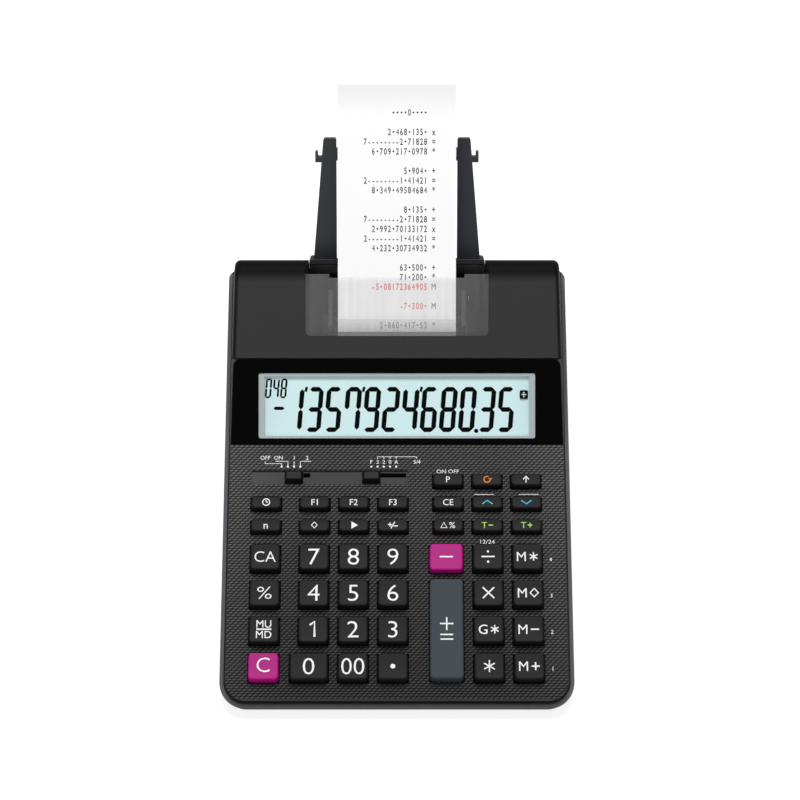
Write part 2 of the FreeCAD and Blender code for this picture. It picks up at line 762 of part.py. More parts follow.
def make_upper_case():
    body = new_body("upper_case")
    half = f"({upper_width} / 2)"
    deck = deck_sketch(body, "deck", upper_bottom)
    rounded_rectangle(deck, half, "0", f"{size.deck_length} / 2", tray_front_radius)
    pad(body, deck, upper_bottom)
    shell = new_sketch(body, "shell", "YZ_Plane")
    part_rear_y = rear_on_slope(part_line("0"), "0")
    start_y = f"({lip_y} + {size.deck_length} / 4)"
    outline(shell, [
        (start_y, deck_line(start_y, upper_bottom)),
        (upper_rear_y, deck_line(upper_rear_y, upper_bottom)),
        (part_rear_y, part_line(part_rear_y)),
        (bay_y, part_z),
        (bay_y, f"{display_end_z} - {panel_sink_z}"),
        (f"{deck_end_y} + {panel_sink_y}", f"{deck_end_z} - {panel_sink_z}"),
        (deck_end_y, deck_end_z),
        (start_y, deck_line(start_y)),
    ])
    pad(body, shell, upper_width, side="Symmetric")
    lean_sides(body)

    def on_rear_corner(middle, ends, edge):
        leans = len(ends) == 2 and abs(ends[0].z - ends[1].z) > 1
        return on_side(middle) and middle.y > value(part_rear_y) - NEAR and leans

    fillet(body, tray_rear_radius, on_rear_corner)

    def on_deck_rim(middle, ends, edge):
        on_plane = abs(middle.z - value(deck_line(str(middle.y)))) < NEAR
        return on_plane and middle.y < value(deck_end_y) - 1

    fillet(body, size.deck_edge_radius, on_deck_rim)
    foot = deck_sketch(body, "foot", size.rim_drop)
    rounded_rectangle(
        foot,
        f"({half} - {size.groove_depth})",
        size.groove_depth,
        f"({rear_along} - {size.groove_depth})",
        f"({tray_front_radius} - {size.groove_depth})",
    )
    pad(body, foot, size.groove_height)
    under_deck = deck_sketch(body, "under_deck", f"2 * {size.rim_drop}")
    rounded_rectangle(
        under_deck,
        f"({inner_width} / 2)",
        size.wall,
        f"({rear_along} - {size.wall})",
        inner_front_radius,
    )
    pocket(body, under_deck, f"2 * {size.rim_drop} - {size.deck_thickness}", back=True)
    inside = new_sketch(body, "inside", "YZ_Plane")
    under_display = f"({size.panel_thickness} + {size.facet_thickness})"
    fall = f"({under_display} / cos({size.display_slope}) - {size.deck_thickness} / cos({size.deck_slope}))"
    turn_y = f"({deck_end_y} + {fall} / (tan({size.display_slope}) - tan({size.deck_slope})))"
    bay_wall_y = f"({bay_y} - {size.wall})"
    ledge_z = f"({part_z} - {size.wall})"
    ledge_y = f"({bay_y} + {size.bay_ledge})"
    below = f"(2 * {size.rim_drop})"
    low_z = deck_line(rim_rear_y, below)
    outline(inside, [
        (turn_y, deck_line(turn_y, below)),
        (rear_y(low_z, size.wall), low_z),
        (rear_y(back_z, size.wall), back_z),
        (ledge_y, back_z),
        (ledge_y, ledge_z),
        (bay_wall_y, ledge_z),
        (bay_wall_y, facet_line(bay_wall_y, under_display)),
        (turn_y, deck_line(turn_y, size.deck_thickness)),
    ])
    pocket(body, inside, f"{inner_width} - 2 * {display_lean}", side="Symmetric")
    tray = tilted_sketch(body, "lcd_tray", deck_end_y, deck_end_z, size.display_slope)
    gap = size.seat_gap
    centred_rectangle(
        tray,
        f"{size.lcd_frame_width} + 2 * {gap}",
        f"{size.lcd_frame_height} + 2 * {gap}",
        f"{size.lcd_frame_start} - {gap}",
    )
    pocket(body, tray, f"{size.lcd_recess} + {size.lcd_frame_thickness} + {size.lcd_glass_thickness}")
    recess = deck_sketch(body, "switch_recess")
    rectangle(
        recess,
        size.recess_left,
        size.recess_start,
        size.recess_right,
        f"{size.recess_start} + {size.recess_width}",
    )
    pocket(body, recess, size.recess_depth)
    add_slot(body, "mode_slot", size.mode_place, size.mode_steps_left, size.mode_steps_right)
    add_slot(body, "decimal_slot", size.decimal_place, "0", size.decimal_steps_right)
    for row in sorted({key["row"] for key in KEYS}):
        holes = deck_sketch(body, f"holes_{row}")
        clear = size.running_clearance
        for key in (key for key in KEYS if key["row"] == row):
            rectangle(
                holes,
                f"{key['x']} - {key['width']} / 2 - {clear}",
                f"{key['front']} - {clear}",
                f"{key['x']} + {key['width']} / 2 + {clear}",
                f"{key['front']} + {key['depth']} + {clear}",
            )
        pocket(body, holes, f"2 * {size.deck_thickness}")
    bar = new_sketch(body, "rear_bar", "YZ_Plane")
    bar_foot = f"({part_line(part_rear_y)} - {size.wall})"
    outline(bar, [
        (rear_y(bar_foot, size.wall), bar_foot),
        (rear_y(bar_foot), bar_foot),
        (rear_y(size.bar_top), size.bar_top),
        (rear_y(size.bar_top, size.wall), size.bar_top),
    ])
    pad(body, bar, f"{size.notch_width} - 2 * {size.running_clearance}", side="Symmetric")
    add_clip(body, "left_clip", f"(-{size.clip_place})")
    add_clip(body, "right_clip", size.clip_place)
    return body


# Display: the panel, the frame and the glass lie on each other in the display seat


def on_display(label, below="0"):
    """A body on the display's surface, sunk a distance below it."""
    y = f"({deck_end_y} + ({below}) * sin({size.display_slope}))"
    z = f"({deck_end_z} - ({below}) * cos({size.display_slope}))"
    return tilted_body(label, "0", y, z, size.display_slope)


def make_display_panel():
    body = on_display("display_panel", size.panel_thickness)
    plate = new_sketch(body, "plate")
    start = size.seat_gap
    end = f"({size.display_length} - {size.seat_gap})"
    foot = f"({size.panel_width} / 2)"
    head = f"({foot} - {display_lean})"
    outline(plate, [(f"-{foot}", start), (foot, start), (head, end), (f"-{head}", end)])
    pad(body, plate, size.panel_thickness)
    fillet(body, size.panel_corner_radius, upright_at(f"2 * {head}", end))
    view = new_sketch(body, "view", height=size.panel_thickness)
    gap = size.seat_gap
    centred_rectangle(
        view,
        f"{size.lcd_frame_width} + 2 * {gap}",
        f"{size.lcd_frame_height} + 2 * {gap}",
        f"{size.lcd_frame_start} - {gap}",
    )
    pocket(body, view, size.panel_thickness)
    return body


def make_lcd_frame():
    body = on_display("lcd_frame", f"{size.lcd_recess} + {size.lcd_frame_thickness}")
    plate = new_sketch(body, "plate")
    centred_rectangle(plate, size.lcd_frame_width, size.lcd_frame_height, size.lcd_frame_start)
    pad(body, plate, size.lcd_frame_thickness)
    end = f"({size.lcd_frame_start} + {size.lcd_frame_height})"
    fillet(body, size.lcd_frame_corner, upright_at(size.lcd_frame_width, end))
    fillet(body, size.lcd_frame_corner, upright_at(size.lcd_frame_width, size.lcd_frame_start))
    view = new_sketch(body, "view", height=size.lcd_frame_thickness)
    centred_rectangle(view, size.lcd_view_width, size.lcd_view_height, size.lcd_view_start)
    pocket(body, view, size.lcd_frame_thickness)
    return body


def make_lcd_glass():
    depth = f"({size.lcd_recess} + {size.lcd_frame_thickness} + {size.lcd_glass_thickness})"
    body = on_display("lcd_glass", depth)
    plate = new_sketch(body, "plate")
    centred_rectangle(plate, size.lcd_frame_width, size.lcd_frame_height, size.lcd_frame_start)
    pad(body, plate, size.lcd_glass_thickness)
    return body


# Printer: cover with its smoked window, paper, feed roller and the frame that carries it


def make_printer_cover():
    body = new_body("printer_cover")
    gap = size.seat_gap
    shell = new_sketch(body, "shell", "YZ_Plane")
    skirt_y = f"({bay_y} + {size.running_clearance})"
    face_y = f"({display_end_y} + {gap})"
    rear_bottom_y = rear_on_slope(part_line("0", gap), "0")
    outline(shell, [
        (skirt_y, part_line(skirt_y, gap)),
        (rear_bottom_y, part_line(rear_bottom_y, gap)),
        (back_y, back_z),
        (face_y, cover_line(face_y)),
        (skirt_y, f"{display_end_z} - {panel_sink_z}"),
    ])
    pad(body, shell, upper_width, side="Symmetric")
    lean_sides(body)

    def top_edge(middle, ends, edge):
        return abs(middle.y - value(back_y)) < NEAR and abs(middle.z - value(back_z)) < NEAR

    fillet(body, size.cover_top_radius, top_edge)

    def side_edge(middle, ends, edge):
        above = middle.z > value(part_line(str(middle.y), gap)) + NEAR
        behind = middle.y > value(skirt_y) + NEAR
        return on_side(middle) and above and behind

    fillet(body, size.cover_side_radius, side_edge)
    inside = new_sketch(body, "inside", "YZ_Plane")
    inside_front = f"({skirt_y} + {size.wall})"
    shoulder_y = f"({back_y} - {size.cover_top_radius})"
    shoulder_z = f"({back_z} - 1.6 * {size.cover_top_radius})"
    low_z = f"({part_z} - {size.wall})"
    outline(inside, [
        (inside_front, low_z),
        (rear_y(low_z, size.wall), low_z),
        (rear_y(shoulder_z, size.wall), shoulder_z),
        (shoulder_y, cover_line(shoulder_y, size.wall)),
        (inside_front, cover_line(inside_front, size.wall)),
    ])
    pocket(body, inside, f"{inner_width} - 2 * {cover_lean}", side="Symmetric")
    seat = tilted_sketch(body, "window_seat", display_end_y, display_end_z, size.cover_slope)
    over = f"({size.window_end} - {size.window_start} + {size.cover_top_radius})"
    seat_start = f"({size.window_start} - {gap})"
    seat_half = f"({size.window_width} / 2 + {gap})"
    seat_corner = f"({size.window_corner} + {gap})"
    rounded_rectangle(seat, seat_half, seat_start, f"{seat_start} + {over}", seat_corner)
    pocket(body, seat, size.window_thickness)
    view = tilted_sketch(body, "window_view", display_end_y, display_end_z, size.cover_slope)
    centred_rectangle(
        view,
        f"{size.window_width} - 2 * {size.window_seat}",
        over,
        f"{size.window_start} + {size.window_seat}",
    )
    pocket(body, view, f"2 * {size.wall}")
    notch = new_sketch(body, "notch")
    rectangle(
        notch,
        f"-{size.notch_width} / 2",
        edge_y,
        f"{size.notch_width} / 2",
        f"{case_depth} + {size.rim_overhang}",
    )
    pocket(body, notch, back_z, back=True)
    return body


def make_tear_window():
    slope = size.cover_slope
    depth = size.window_thickness
    y = f"({display_end_y} + {depth} * sin({slope}))"
    z = f"({display_end_z} - {depth} * cos({slope}))"
    body = tilted_body("tear_window", "0", y, z, slope)
    plate = new_sketch(body, "plate")
    half = f"({size.window_width} / 2)"
    ear = f"({half} - {size.window_ear})"
    edge = f"({size.window_end} - {size.window_ear_rise})"
    outline(plate, [
        (f"-{half}", size.window_start),
        (half, size.window_start),
        (half, size.window_end),
        (ear, size.window_end),
        (ear, edge),
        (f"-{ear}", edge),
        (f"-{ear}", size.window_end),
        (f"-{half}", size.window_end),
    ])
    pad(body, plate, depth)
    fillet(body, size.window_corner, upright_at(size.window_width, size.window_start))
    return body


def on_paper(label):
    """A body whose own XY plane is the middle of the paper, with its origin at the tear edge."""
    return tilted_body(label, "0", tear_y, tear_z, size.strip_slope)


def make_paper_strip():
    body = on_paper("paper_strip")
    sheet_outline = new_sketch(body, "sheet")
    length = f"({size.strip_in} + {size.strip_out})"
    centred_rectangle(sheet_outline, size.strip_width, length, f"-{size.strip_in}")
    pad(body, sheet_outline, size.strip_thickness, side="Symmetric")
    return body


roller_drop = f"({size.strip_thickness} / 2 + {size.seat_gap} + {size.roller_radius})"
touch_y = f"({tear_y} - {size.roller_place} * cos({size.strip_slope}))"
touch_z = f"({tear_z} - {size.roller_place} * sin({size.strip_slope}))"
axle_y = f"({touch_y} + {roller_drop} * sin({size.strip_slope}))"
axle_z = f"({touch_z} - {roller_drop} * cos({size.strip_slope}))"


def make_feed_roller():
    body = new_body("feed_roller")
    sleeve = new_sketch(body, "sleeve", "YZ_Plane")
    circle(sleeve, axle_y, axle_z, size.roller_radius)
    pad(body, sleeve, size.roller_length, side="Symmetric")
    axle = new_sketch(body, "axle", "YZ_Plane")
    circle(axle, axle_y, axle_z, size.axle_radius)
    pad(body, axle, f"{size.frame_inside} + 2 * {size.frame_plate}", side="Symmetric")
    return body


def make_printer_frame():
    body = new_body("printer_frame")
    front = f"({axle_y} - {size.frame_front})"
    back = f"({axle_y} + {size.frame_back})"
    top = f"({axle_z} + {size.frame_head})"
    cheeks = new_sketch(body, "cheeks", "YZ_Plane")
    outline(cheeks, [(front, floor_top), (back, floor_top), (back, top), (front, top)])
    pad(body, cheeks, f"{size.frame_inside} + 2 * {size.frame_plate}", side="Symmetric")
    middle = new_sketch(body, "middle", "YZ_Plane")
    plate_top = f"({floor_top} + {size.frame_plate})"
    past = size.frame_plate
    outline(middle, [
        (f"{front} - {past}", plate_top),
        (f"{back} + {past}", plate_top),
        (f"{back} + {past}", f"{top} + {past}"),
        (f"{front} - {past}", f"{top} + {past}"),
    ])
    pocket(body, middle, size.frame_inside, side="Symmetric")
    bore = new_sketch(body, "bore", "YZ_Plane")
    circle(bore, axle_y, axle_z, f"{size.axle_radius} + {size.pivot_clearance}")
    pocket(body, bore, f"{size.frame_inside} + 3 * {size.frame_plate}", side="Symmetric")
    return body


# Paper-roll arms: two tapered fingers on one pivot tube


def make_paper_arms():
    body = tilted_body("paper_arms", "0", pivot_y, size.arm_pivot_height, size.arm_slope)
    tube = new_sketch(body, "tube", "YZ_Plane")
    circle(tube, "0", "0", size.tube_radius)
    pad(body, tube, f"{size.arm_inside} + {size.arm_base_width}", side="Symmetric")
    inner = f"({size.arm_inside} / 2)"
    taper = f"({size.arm_base_width} - {size.arm_tip_width}) / {size.arm_length}"

    def outer(along):
        return f"({inner} + {size.arm_base_width} - ({along}) * {taper})"

    hook_low = f"({size.hub_place} - {size.hub_radius})"
    hook_bar = f"({hook_low} + {size.hook_bar})"
    hook_tip = f"({hook_bar} + {size.hook_rise})"
    hook_out = f"({outer(hook_low)} + {size.hook_reach})"
    finger = [
        (inner, "0"),
        (outer("0"), "0"),
        (outer(hook_low), hook_low),
        (hook_out, hook_low),
        (hook_out, hook_tip),
        (f"({hook_out} - {size.hook_lip})", hook_tip),
        (f"({hook_out} - {size.hook_lip})", hook_bar),
        (outer(hook_bar), hook_bar),
        (outer(size.arm_length), size.arm_length),
        (inner, size.arm_length),
    ]
    for name, sign in (("left", "-1"), ("right", "1")):
        sketch = new_sketch(body, f"{name}_finger")
        outline(sketch, [(f"{sign} * {x}", along) for x, along in finger])
        pad(body, sketch, size.arm_thickness, side="Symmetric")
        boss_start = inner if sign == "1" else f"-({inner} + {size.arm_boss_width})"
        boss = new_sketch(body, f"{name}_boss", "YZ_Plane", boss_start)
        circle(boss, "0", "0", size.arm_boss_radius)
        pad(body, boss, size.arm_boss_width)
        hub_start = f"({inner} - {size.hub_height})" if sign == "1" else f"-{inner} - {size.hub_height}"
        hub = new_sketch(body, f"{name}_hub", "YZ_Plane", hub_start)
        circle(hub, size.hub_place, "0", f"min({size.hub_radius}; {size.arm_thickness} / 2)")
        pad(body, hub, f"2 * {size.hub_height}")
    tip = value(size.arm_length)
    boss_end = value(f"{inner} + {size.arm_boss_width}")

    def tip_corner(middle, ends, edge):
        return runs_along(edge, UP) and abs(middle.y - tip) < NEAR

    def boss_rim(middle, ends, edge):
        return abs(abs(middle.x) - boss_end) < NEAR

    fillet(body, size.arm_tip_radius, tip_corner)
    fillet(body, size.arm_boss_edge, boss_rim)
    return body


# Keys: each cap stands through its hole in the deck on a flange that rests under the deck


def make_key(key):
    body = on_deck(key["name"], key["x"], key["front"])
    flange = new_sketch(body, "flange", height=f"-({key_seat} + {size.key_flange})")
    lip = size.key_flange_lip
    centred_rectangle(flange, f"{key['width']} + 2 * {lip}", f"{key['depth']} + 2 * {lip}", f"-{lip}")
    pad(body, flange, size.key_flange)
    cap = new_sketch(body, "cap", height=f"-{key_seat}")
    centred_rectangle(cap, key["width"], key["depth"])
    pad(body, cap, f"{key['height']} + {key_seat}", draft=f"-{size.key_draft}")
    top = value(key["height"])
    seat = value(key_seat)

    def cap_corner(middle, ends, edge):
        heights = sorted(end.z for end in ends)
        return abs(heights[0] + seat) < NEAR and abs(heights[-1] - top) < NEAR

    fillet(body, size.key_corner, cap_corner)
    dish = new_sketch(body, "dish", "YZ_Plane")
    radius = f"({key['depth']} ^ 2 / (8 * {size.key_dish}))"
    circle(dish, f"{key['depth']} / 2", f"{key['height']} - {size.key_dish} + {radius}", radius)
    pocket(body, dish, f"2 * {key['width']}", side="Symmetric")

    def rim(middle, ends, edge):
        return middle.z > top - value(size.key_dish) - 1 and all(end.z > top - 1 for end in ends)

    fillet(body, size.key_edge, rim)
    return body


def make_key_mat():
    body = on_deck("key_mat")
    web = new_sketch(body, "web", height=f"-{board_top}")
    rectangle(web, f"-{board_half}", board_front, board_half, board_back)
    pad(body, web, size.mat_thickness)
    domes = new_sketch(body, "domes", height=f"-{mat_top}")
    for key in KEYS:
        radius = f"min({size.dome_radius}; {key['depth']} / 2)"
        circle(domes, key["x"], f"{key['front']} + {key['depth']} / 2", radius)
    pad(body, domes, size.dome_height, draft=f"-{size.dome_draft}")
    return body


def make_main_board():
    body = on_deck("main_board")
    board = new_sketch(body, "board", height=f"-{board_bottom}")
    rectangle(board, f"-{board_half}", board_front, board_half, board_back)
    pad(body, board, size.board_thickness)
    return body


def make_slider(label, place):
    """A slide switch: a knob on a stem near its right end, with a flange under the deck."""
    body = on_deck(label, place, f"{size.recess_start} + {size.slot_place}")
    flange = new_sketch(body, "flange", height=f"-({key_seat} + {size.knob_flange})")
    flange_depth = f"({size.stem_width} + 2 * {size.running_clearance} + 2 * {size.knob_flange_lip})"
    centred_rectangle(flange, size.knob_length, flange_depth, f"-{flange_depth} / 2")
    pad(body, flange, size.knob_flange)
    stem = new_sketch(body, "stem", height=f"-{key_seat}")
    stem_end = f"({size.knob_length} / 2)"
    stem_half = f"({size.stem_width} / 2)"
    rectangle(stem, f"{stem_end} - {size.stem_length}", f"-{stem_half}", stem_end, stem_half)
    pad(body, stem, key_seat)
    knob_bottom = f"({size.seat_gap} - {size.recess_depth})"
    knob = new_sketch(body, "knob", height=knob_bottom)
    knob_start = f"-{size.knob_forward} - {size.knob_width} / 2"
    centred_rectangle(knob, size.knob_length, size.knob_width, knob_start)
    pad(body, knob, f"{size.knob_height} - {knob_bottom}", draft=f"-{size.knob_draft}")
    top = value(size.knob_height)

    def rim(middle, ends, edge):
        return abs(middle.z - top) < NEAR

    fillet(body, size.knob_edge, rim)
    return body


def check_document():
    """Stops the build if any object of the document has failed."""
    doc.recompute()
    for item in doc.Objects:
        if "Invalid" in item.State or "Error" in item.State:
            raise RuntimeError(f"{item.Name} is {item.State}")


def write_parts(nodes):
    """Writes one file for each sub-part."""
    os.makedirs("parts", exist_ok=True)
    for node in nodes:
        if node.Shape.isNull() or not node.Shape.isValid():
            raise RuntimeError(f"{node.Label} has no valid shape")
    for node in nodes:
        node.Shape.exportStep(f"parts/{node.Label}.step")
        print(node.Label, len(node.Shape.Solids), "solids", round(node.Shape.Volume, 1), "mm3")


nodes = [
    make_lower_case(),
    make_battery_lid(),
    make_rubber_feet(),
    make_upper_case(),
    make_display_panel(),
    make_lcd_frame(),
    make_lcd_glass(),
    make_printer_cover(),
    make_tear_window(),
    make_paper_strip(),
    make_feed_roller(),
    make_printer_frame(),
    make_paper_arms(),
    make_main_board(),
    make_key_mat(),
    make_slider("mode_slider", size.mode_place),
    make_slider("decimal_slider", size.decimal_place),
]
nodes += [make_key(key) for key in KEYS]
check_document()
write_parts(nodes)
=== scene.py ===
import math
from functools import partialmethod

import bpy
from bpy.props import FloatProperty, FloatVectorProperty, PointerProperty
from mathutils import Matrix, Vector
from mathutils.bvhtree import BVHTree

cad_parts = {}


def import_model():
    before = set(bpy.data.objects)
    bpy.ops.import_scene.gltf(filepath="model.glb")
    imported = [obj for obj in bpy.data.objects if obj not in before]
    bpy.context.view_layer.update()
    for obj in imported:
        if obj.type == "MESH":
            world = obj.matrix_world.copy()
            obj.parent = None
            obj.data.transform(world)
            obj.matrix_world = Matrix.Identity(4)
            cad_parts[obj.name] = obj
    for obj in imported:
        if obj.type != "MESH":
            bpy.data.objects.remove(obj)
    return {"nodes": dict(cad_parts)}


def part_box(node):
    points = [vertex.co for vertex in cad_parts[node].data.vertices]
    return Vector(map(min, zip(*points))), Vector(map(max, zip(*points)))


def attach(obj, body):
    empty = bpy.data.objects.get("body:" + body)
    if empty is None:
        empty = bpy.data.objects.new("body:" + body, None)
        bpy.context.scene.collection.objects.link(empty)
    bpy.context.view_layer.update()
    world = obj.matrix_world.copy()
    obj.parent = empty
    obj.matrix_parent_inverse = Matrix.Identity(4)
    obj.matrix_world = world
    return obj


bl_info = {
    "name": "Printing calculator looks",
    "version": (1, 0, 0),
    "blender": (4, 5, 0),
    "location": "View3D > Sidebar > Calculator",
    "description": "Finishes, legends, display, print and stage of a printing desk calculator",
    "category": "Object",
}

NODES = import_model()["nodes"]
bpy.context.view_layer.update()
KEY_NODES = sorted(name for name in NODES if name.startswith("key_") and name != "key_mat")
MM = 0.001
CAPITAL_SHARE = 0.69  # height of a capital in a type of size 1


def tint(label, text, *channels):
    """A colour that a user may change, given as a screen colour: three numbers up to 255."""
    shares = (channel / 255 for channel in channels)
    light = tuple(s / 12.92 if s < 0.04045 else ((s + 0.055) / 1.055) ** 2.4 for s in shares)
    return FloatVectorProperty(
        name=label, description=text, default=light, min=0.0, max=1.0, size=3, subtype="COLOR")


def length(label, text, millimetres):
    """A length that a user may change."""
    return FloatProperty(name=label, description=text, default=millimetres * MM, unit="LENGTH", precision=5)


def angle(label, text, degrees):
    """An angle that a user may change."""
    return FloatProperty(name=label, description=text, default=math.radians(degrees), subtype="ANGLE")


class CalculatorSizes(bpy.types.PropertyGroup):
    """Slopes of the top surfaces and sizes of what is printed on them."""

    deck_slope: angle("Deck slope", "Slope of the key deck", 7.5)
    lip_height: length("Lip height", "Height of the deck's front edge above the desk", 10.87)
    deck_length: length("Deck length", "Length of the key deck up to the display", 126.7)
    display_slope: angle("Display slope", "Slope of the display panel", 28.0)
    cover_slope: angle("Cover slope", "Slope of the printer cover's face", 30.0)
    paper_slope: angle("Paper slope", "Slope of the paper strip", 33.0)
    legend: length("Legend height", "Height of the figures on the large keys", 8.0)
    small_legend: length("Small legend height", "Height of the marks on the small keys", 3.0)
    caption: length("Caption height", "Height of the small figures on the deck", 1.9)
    ink: length("Print thickness", "Thickness of printed legends", 0.08)
    weave_across: length("Weave width", "Width of one slanted bump of the deck's emboss", 2.41)
    weave_along: length("Weave pitch", "Distance between the rows of the deck's emboss", 1.24)
    digit_pitch: length("Digit pitch", "Distance between display figures", 9.2)
    digit_height: length("Digit height", "Height of the large display figures", 19.4)
    rim: length("Rim width", "Width of the lower case's rim round the deck", 2.3)
    rim_corner: length("Rim corner", "Radius of the rim's front corners", 12.5)
    # Painted shade: height of the window's hazier band that darkens the paper at its foot
    guide: length("Guide height", "Height of the paper guide at the foot of the window", 8.0)
    line_pitch: length("Line pitch", "Distance between printed lines on the paper", 4.62)
    print_height: length("Print height", "Height of the figures on the paper", 3.0)
    print_pitch: length("Print pitch", "Distance between the figures on the paper", 1.92)


class CalculatorColours(bpy.types.PropertyGroup):
    """Colours of the finishes."""

    case_black: tint("Upper case", "Key deck and upper case", 44, 44, 44)
    case_grey: tint("Lower case", "Tray and rim", 66, 67, 70)
    cover_black: tint("Cover", "Grained face of the printer cover", 53, 53, 53)
    # Painted shade: the darker colour given to key sides and fronts, the cover's edges and the deck's walls
    # where they face away from the top
    smooth_black: tint("Smooth black", "Polished edges of the cover and sides of the keys", 18, 18, 18)
    panel_black: tint("Panel", "Panel round the display", 1, 1, 1)
    frame_grey: tint("Display frame", "Frame inside the panel", 168, 176, 178)
    display_pale: tint("Display", "Display without figures", 206, 234, 236)
    display_ink: tint("Display figures", "Figures of the display", 6, 7, 8)
    key_dark: tint("Keys", "Tops of the plain keys", 34, 34, 34)
    switch_grey: tint("Switches", "Tops of the slide switches", 41, 40, 40)
    key_red: tint("Magenta keys", "Tops of the clear and minus keys", 170, 45, 125)
    key_red_side: tint("Magenta sides", "Sides of the clear and minus keys", 192, 22, 134)
    key_blue: tint("Tall key", "Plus and equals key", 62, 69, 74)
    legend_white: tint("Legends", "White legends", 236, 236, 236)
    legend_orange: tint("Orange legend", "Legend of the repeat key", 226, 128, 36)
    legend_green: tint("Green legends", "Legends of the two tax keys", 168, 208, 96)
    legend_cyan: tint("Blue legends", "Legends of the two arrow keys", 72, 196, 214)
    window_smoke: tint("Window", "Smoked tear window", 190, 190, 192)
    paper_white: tint("Paper", "Paper strip", 250, 250, 250)
    print_black: tint("Print", "Printed figures", 48, 46, 50)
    print_red: tint("Red print", "Printed negative figures", 232, 96, 84)
    arm_grey: tint("Arms", "Paper-roll arms", 37, 38, 43)
    rubber_black: tint("Rubber", "Feet and roller", 24, 24, 24)
    steel_grey: tint("Steel", "Case screws", 128, 130, 134)
    board_green: tint("Board", "Circuit board", 16, 52, 28)
    mat_grey: tint("Key mat", "Rubber dome mat", 44, 44, 42)
    inside_black: tint("Inside", "Printer frame", 30, 30, 30)
    floor_white: tint("Floor", "Floor under the calculator", 172, 172, 172)


def sizes():
    return bpy.context.scene.calculator_sizes


def colours():
    return bpy.context.scene.calculator_colours


# Planes of the top surfaces: x across, y up the slope, z square above the surface


def at(x, y, z):
    return Matrix.Translation((x, y, z))


def sloping_plane(y, z, slope):
    return at(0, y, z) @ Matrix.Rotation(slope, 4, "X")


def deck_plane():
    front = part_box("upper_case")[0].y
    return sloping_plane(front, sizes().lip_height, sizes().deck_slope)


def display_plane():
    fold = deck_plane() @ Vector((0, sizes().deck_length, 0))
    return sloping_plane(fold.y, fold.z, sizes().display_slope)


def paper_plane():
    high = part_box("paper_strip")[1]
    return sloping_plane(high.y, high.z, sizes().paper_slope)


def square_to(slope):
    """The direction square to a slope, away from the case."""
    return Matrix.Rotation(slope, 3, "X") @ Vector((0, 0, 1))


def span(node, plane):
    """Lowest and highest corner of a node, measured in a plane's own directions."""
    back = plane.inverted()
    points = [back @ vertex.co for vertex in NODES[node].data.vertices]
    low = Vector(min(p[i] for p in points) for i in range(3))
    high = Vector(max(p[i] for p in points) for i in range(3))
    return low, high


def surface_of(node):
    """A node's surface, for finding points on it."""
    mesh = NODES[node].data
    corners = [vertex.co for vertex in mesh.vertices]
    return BVHTree.FromPolygons(corners, [face.vertices for face in mesh.polygons])


def lay_on(piece, surface, plane, thickness):
    """Lays a flat print, drawn round a plane's origin, on the surface below it."""
    down = plane.to_3x3() @ Vector((0, 0, -1))
    cast_height = 20 * MM
    sunk = 0.02 * MM
    for vertex in piece.data.vertices:
        above = plane @ Vector((vertex.co.x, vertex.co.y, cast_height))
        point = surface.ray_cast(above, down)[0]
        if point is None:
            raise RuntimeError(f"{piece.name} reaches past the surface below it")
        vertex.co = point - down * (thickness if vertex.co.z > -1e-7 else -sunk)


# Modelling helpers


def mode(name):
    bpy.ops.object.mode_set(mode=name)


def deselect():
    bpy.ops.object.select_all(action="DESELECT")


def settle(piece, place):
    """Puts a piece's place into its mesh and leaves the object at the origin."""
    piece.data.transform(place @ piece.matrix_basis)
    piece.matrix_basis = Matrix.Identity(4)
    return piece


def lettering(text, height, thickness, bold=0.0, wide=1.0):
    """Words as a flat mesh, centred on the origin, with capitals of a given height."""
    deselect()
    bpy.ops.object.text_add(location=(0, 0, 0))
    words = bpy.context.object
    words.data.body = text
    words.data.size = height / CAPITAL_SHARE
    words.data.extrude = thickness / 2
    words.data.offset = bold * height
    words.data.resolution_u = 3
    bpy.ops.object.convert(target="MESH")
    words = bpy.context.object
    xs = [vertex.co.x for vertex in words.data.vertices]
    words.data.transform(at(-(min(xs) + max(xs)) / 2, -height / 2, 0))
    words.data.transform(Matrix.Diagonal((wide, 1, 1, 1)))
    return words


def stroke(points, width, thickness, closed=False):
    """A printed line along some points, with round ends."""
    deselect()
    curve = bpy.data.curves.new("line", "CURVE")
    curve.dimensions = "3D"
    curve.bevel_depth = width / 2
    curve.bevel_resolution = 2
    curve.use_fill_caps = True
    spline = curve.splines.new("POLY")
    spline.points.add(len(points) - 1)
    for point, (x, y) in zip(spline.points, points):
        point.co = (x, y, 0, 1)
    spline.use_cyclic_u = closed
    line = bpy.data.objects.new("line", curve)
    bpy.context.collection.objects.link(line)
    bpy.context.view_layer.objects.active = line
    line.select_set(True)
    bpy.ops.object.convert(target="MESH")
    line = bpy.context.object
    line.data.transform(Matrix.Diagonal((1, 1, thickness / width, 1)))
    return line


def cylinder(vertices, radius, depth):
    deselect()
    bpy.ops.mesh.primitive_cylinder_add(vertices=vertices, radius=radius, depth=depth)
    return bpy.context.object


def block(width, depth, height):
    deselect()
    bpy.ops.mesh.primitive_cube_add(size=1.0)
    slab = bpy.context.object
    slab.data.transform(Matrix.Diagonal((width, depth, height, 1)))
    return slab


def bevel(piece, offset, segments, is_chosen):
    """Rounds the edges that a test of their two ends chooses."""
    for edge in piece.data.edges:
        edge.select = is_chosen(*(piece.data.vertices[index].co for index in edge.vertices))
    mode("EDIT")
    bpy.ops.mesh.select_mode(type="EDGE")
    bpy.ops.mesh.bevel(offset=offset, segments=segments)
    mode("OBJECT")


def dot(x, y, radius, thickness):
    """A printed round dot."""
    return moved(cylinder(20, radius, thickness), x, y)


def plate(width, depth, thickness, corner):
    """A thin plate with rounded corners."""
    slab = block(width, depth, thickness)
    bevel(slab, corner, 4, lambda first, second: abs(first.z - second.z) > thickness / 2)
    return slab


def moved(piece, x, y):
    piece.data.transform(at(x, y, 0))
    return piece


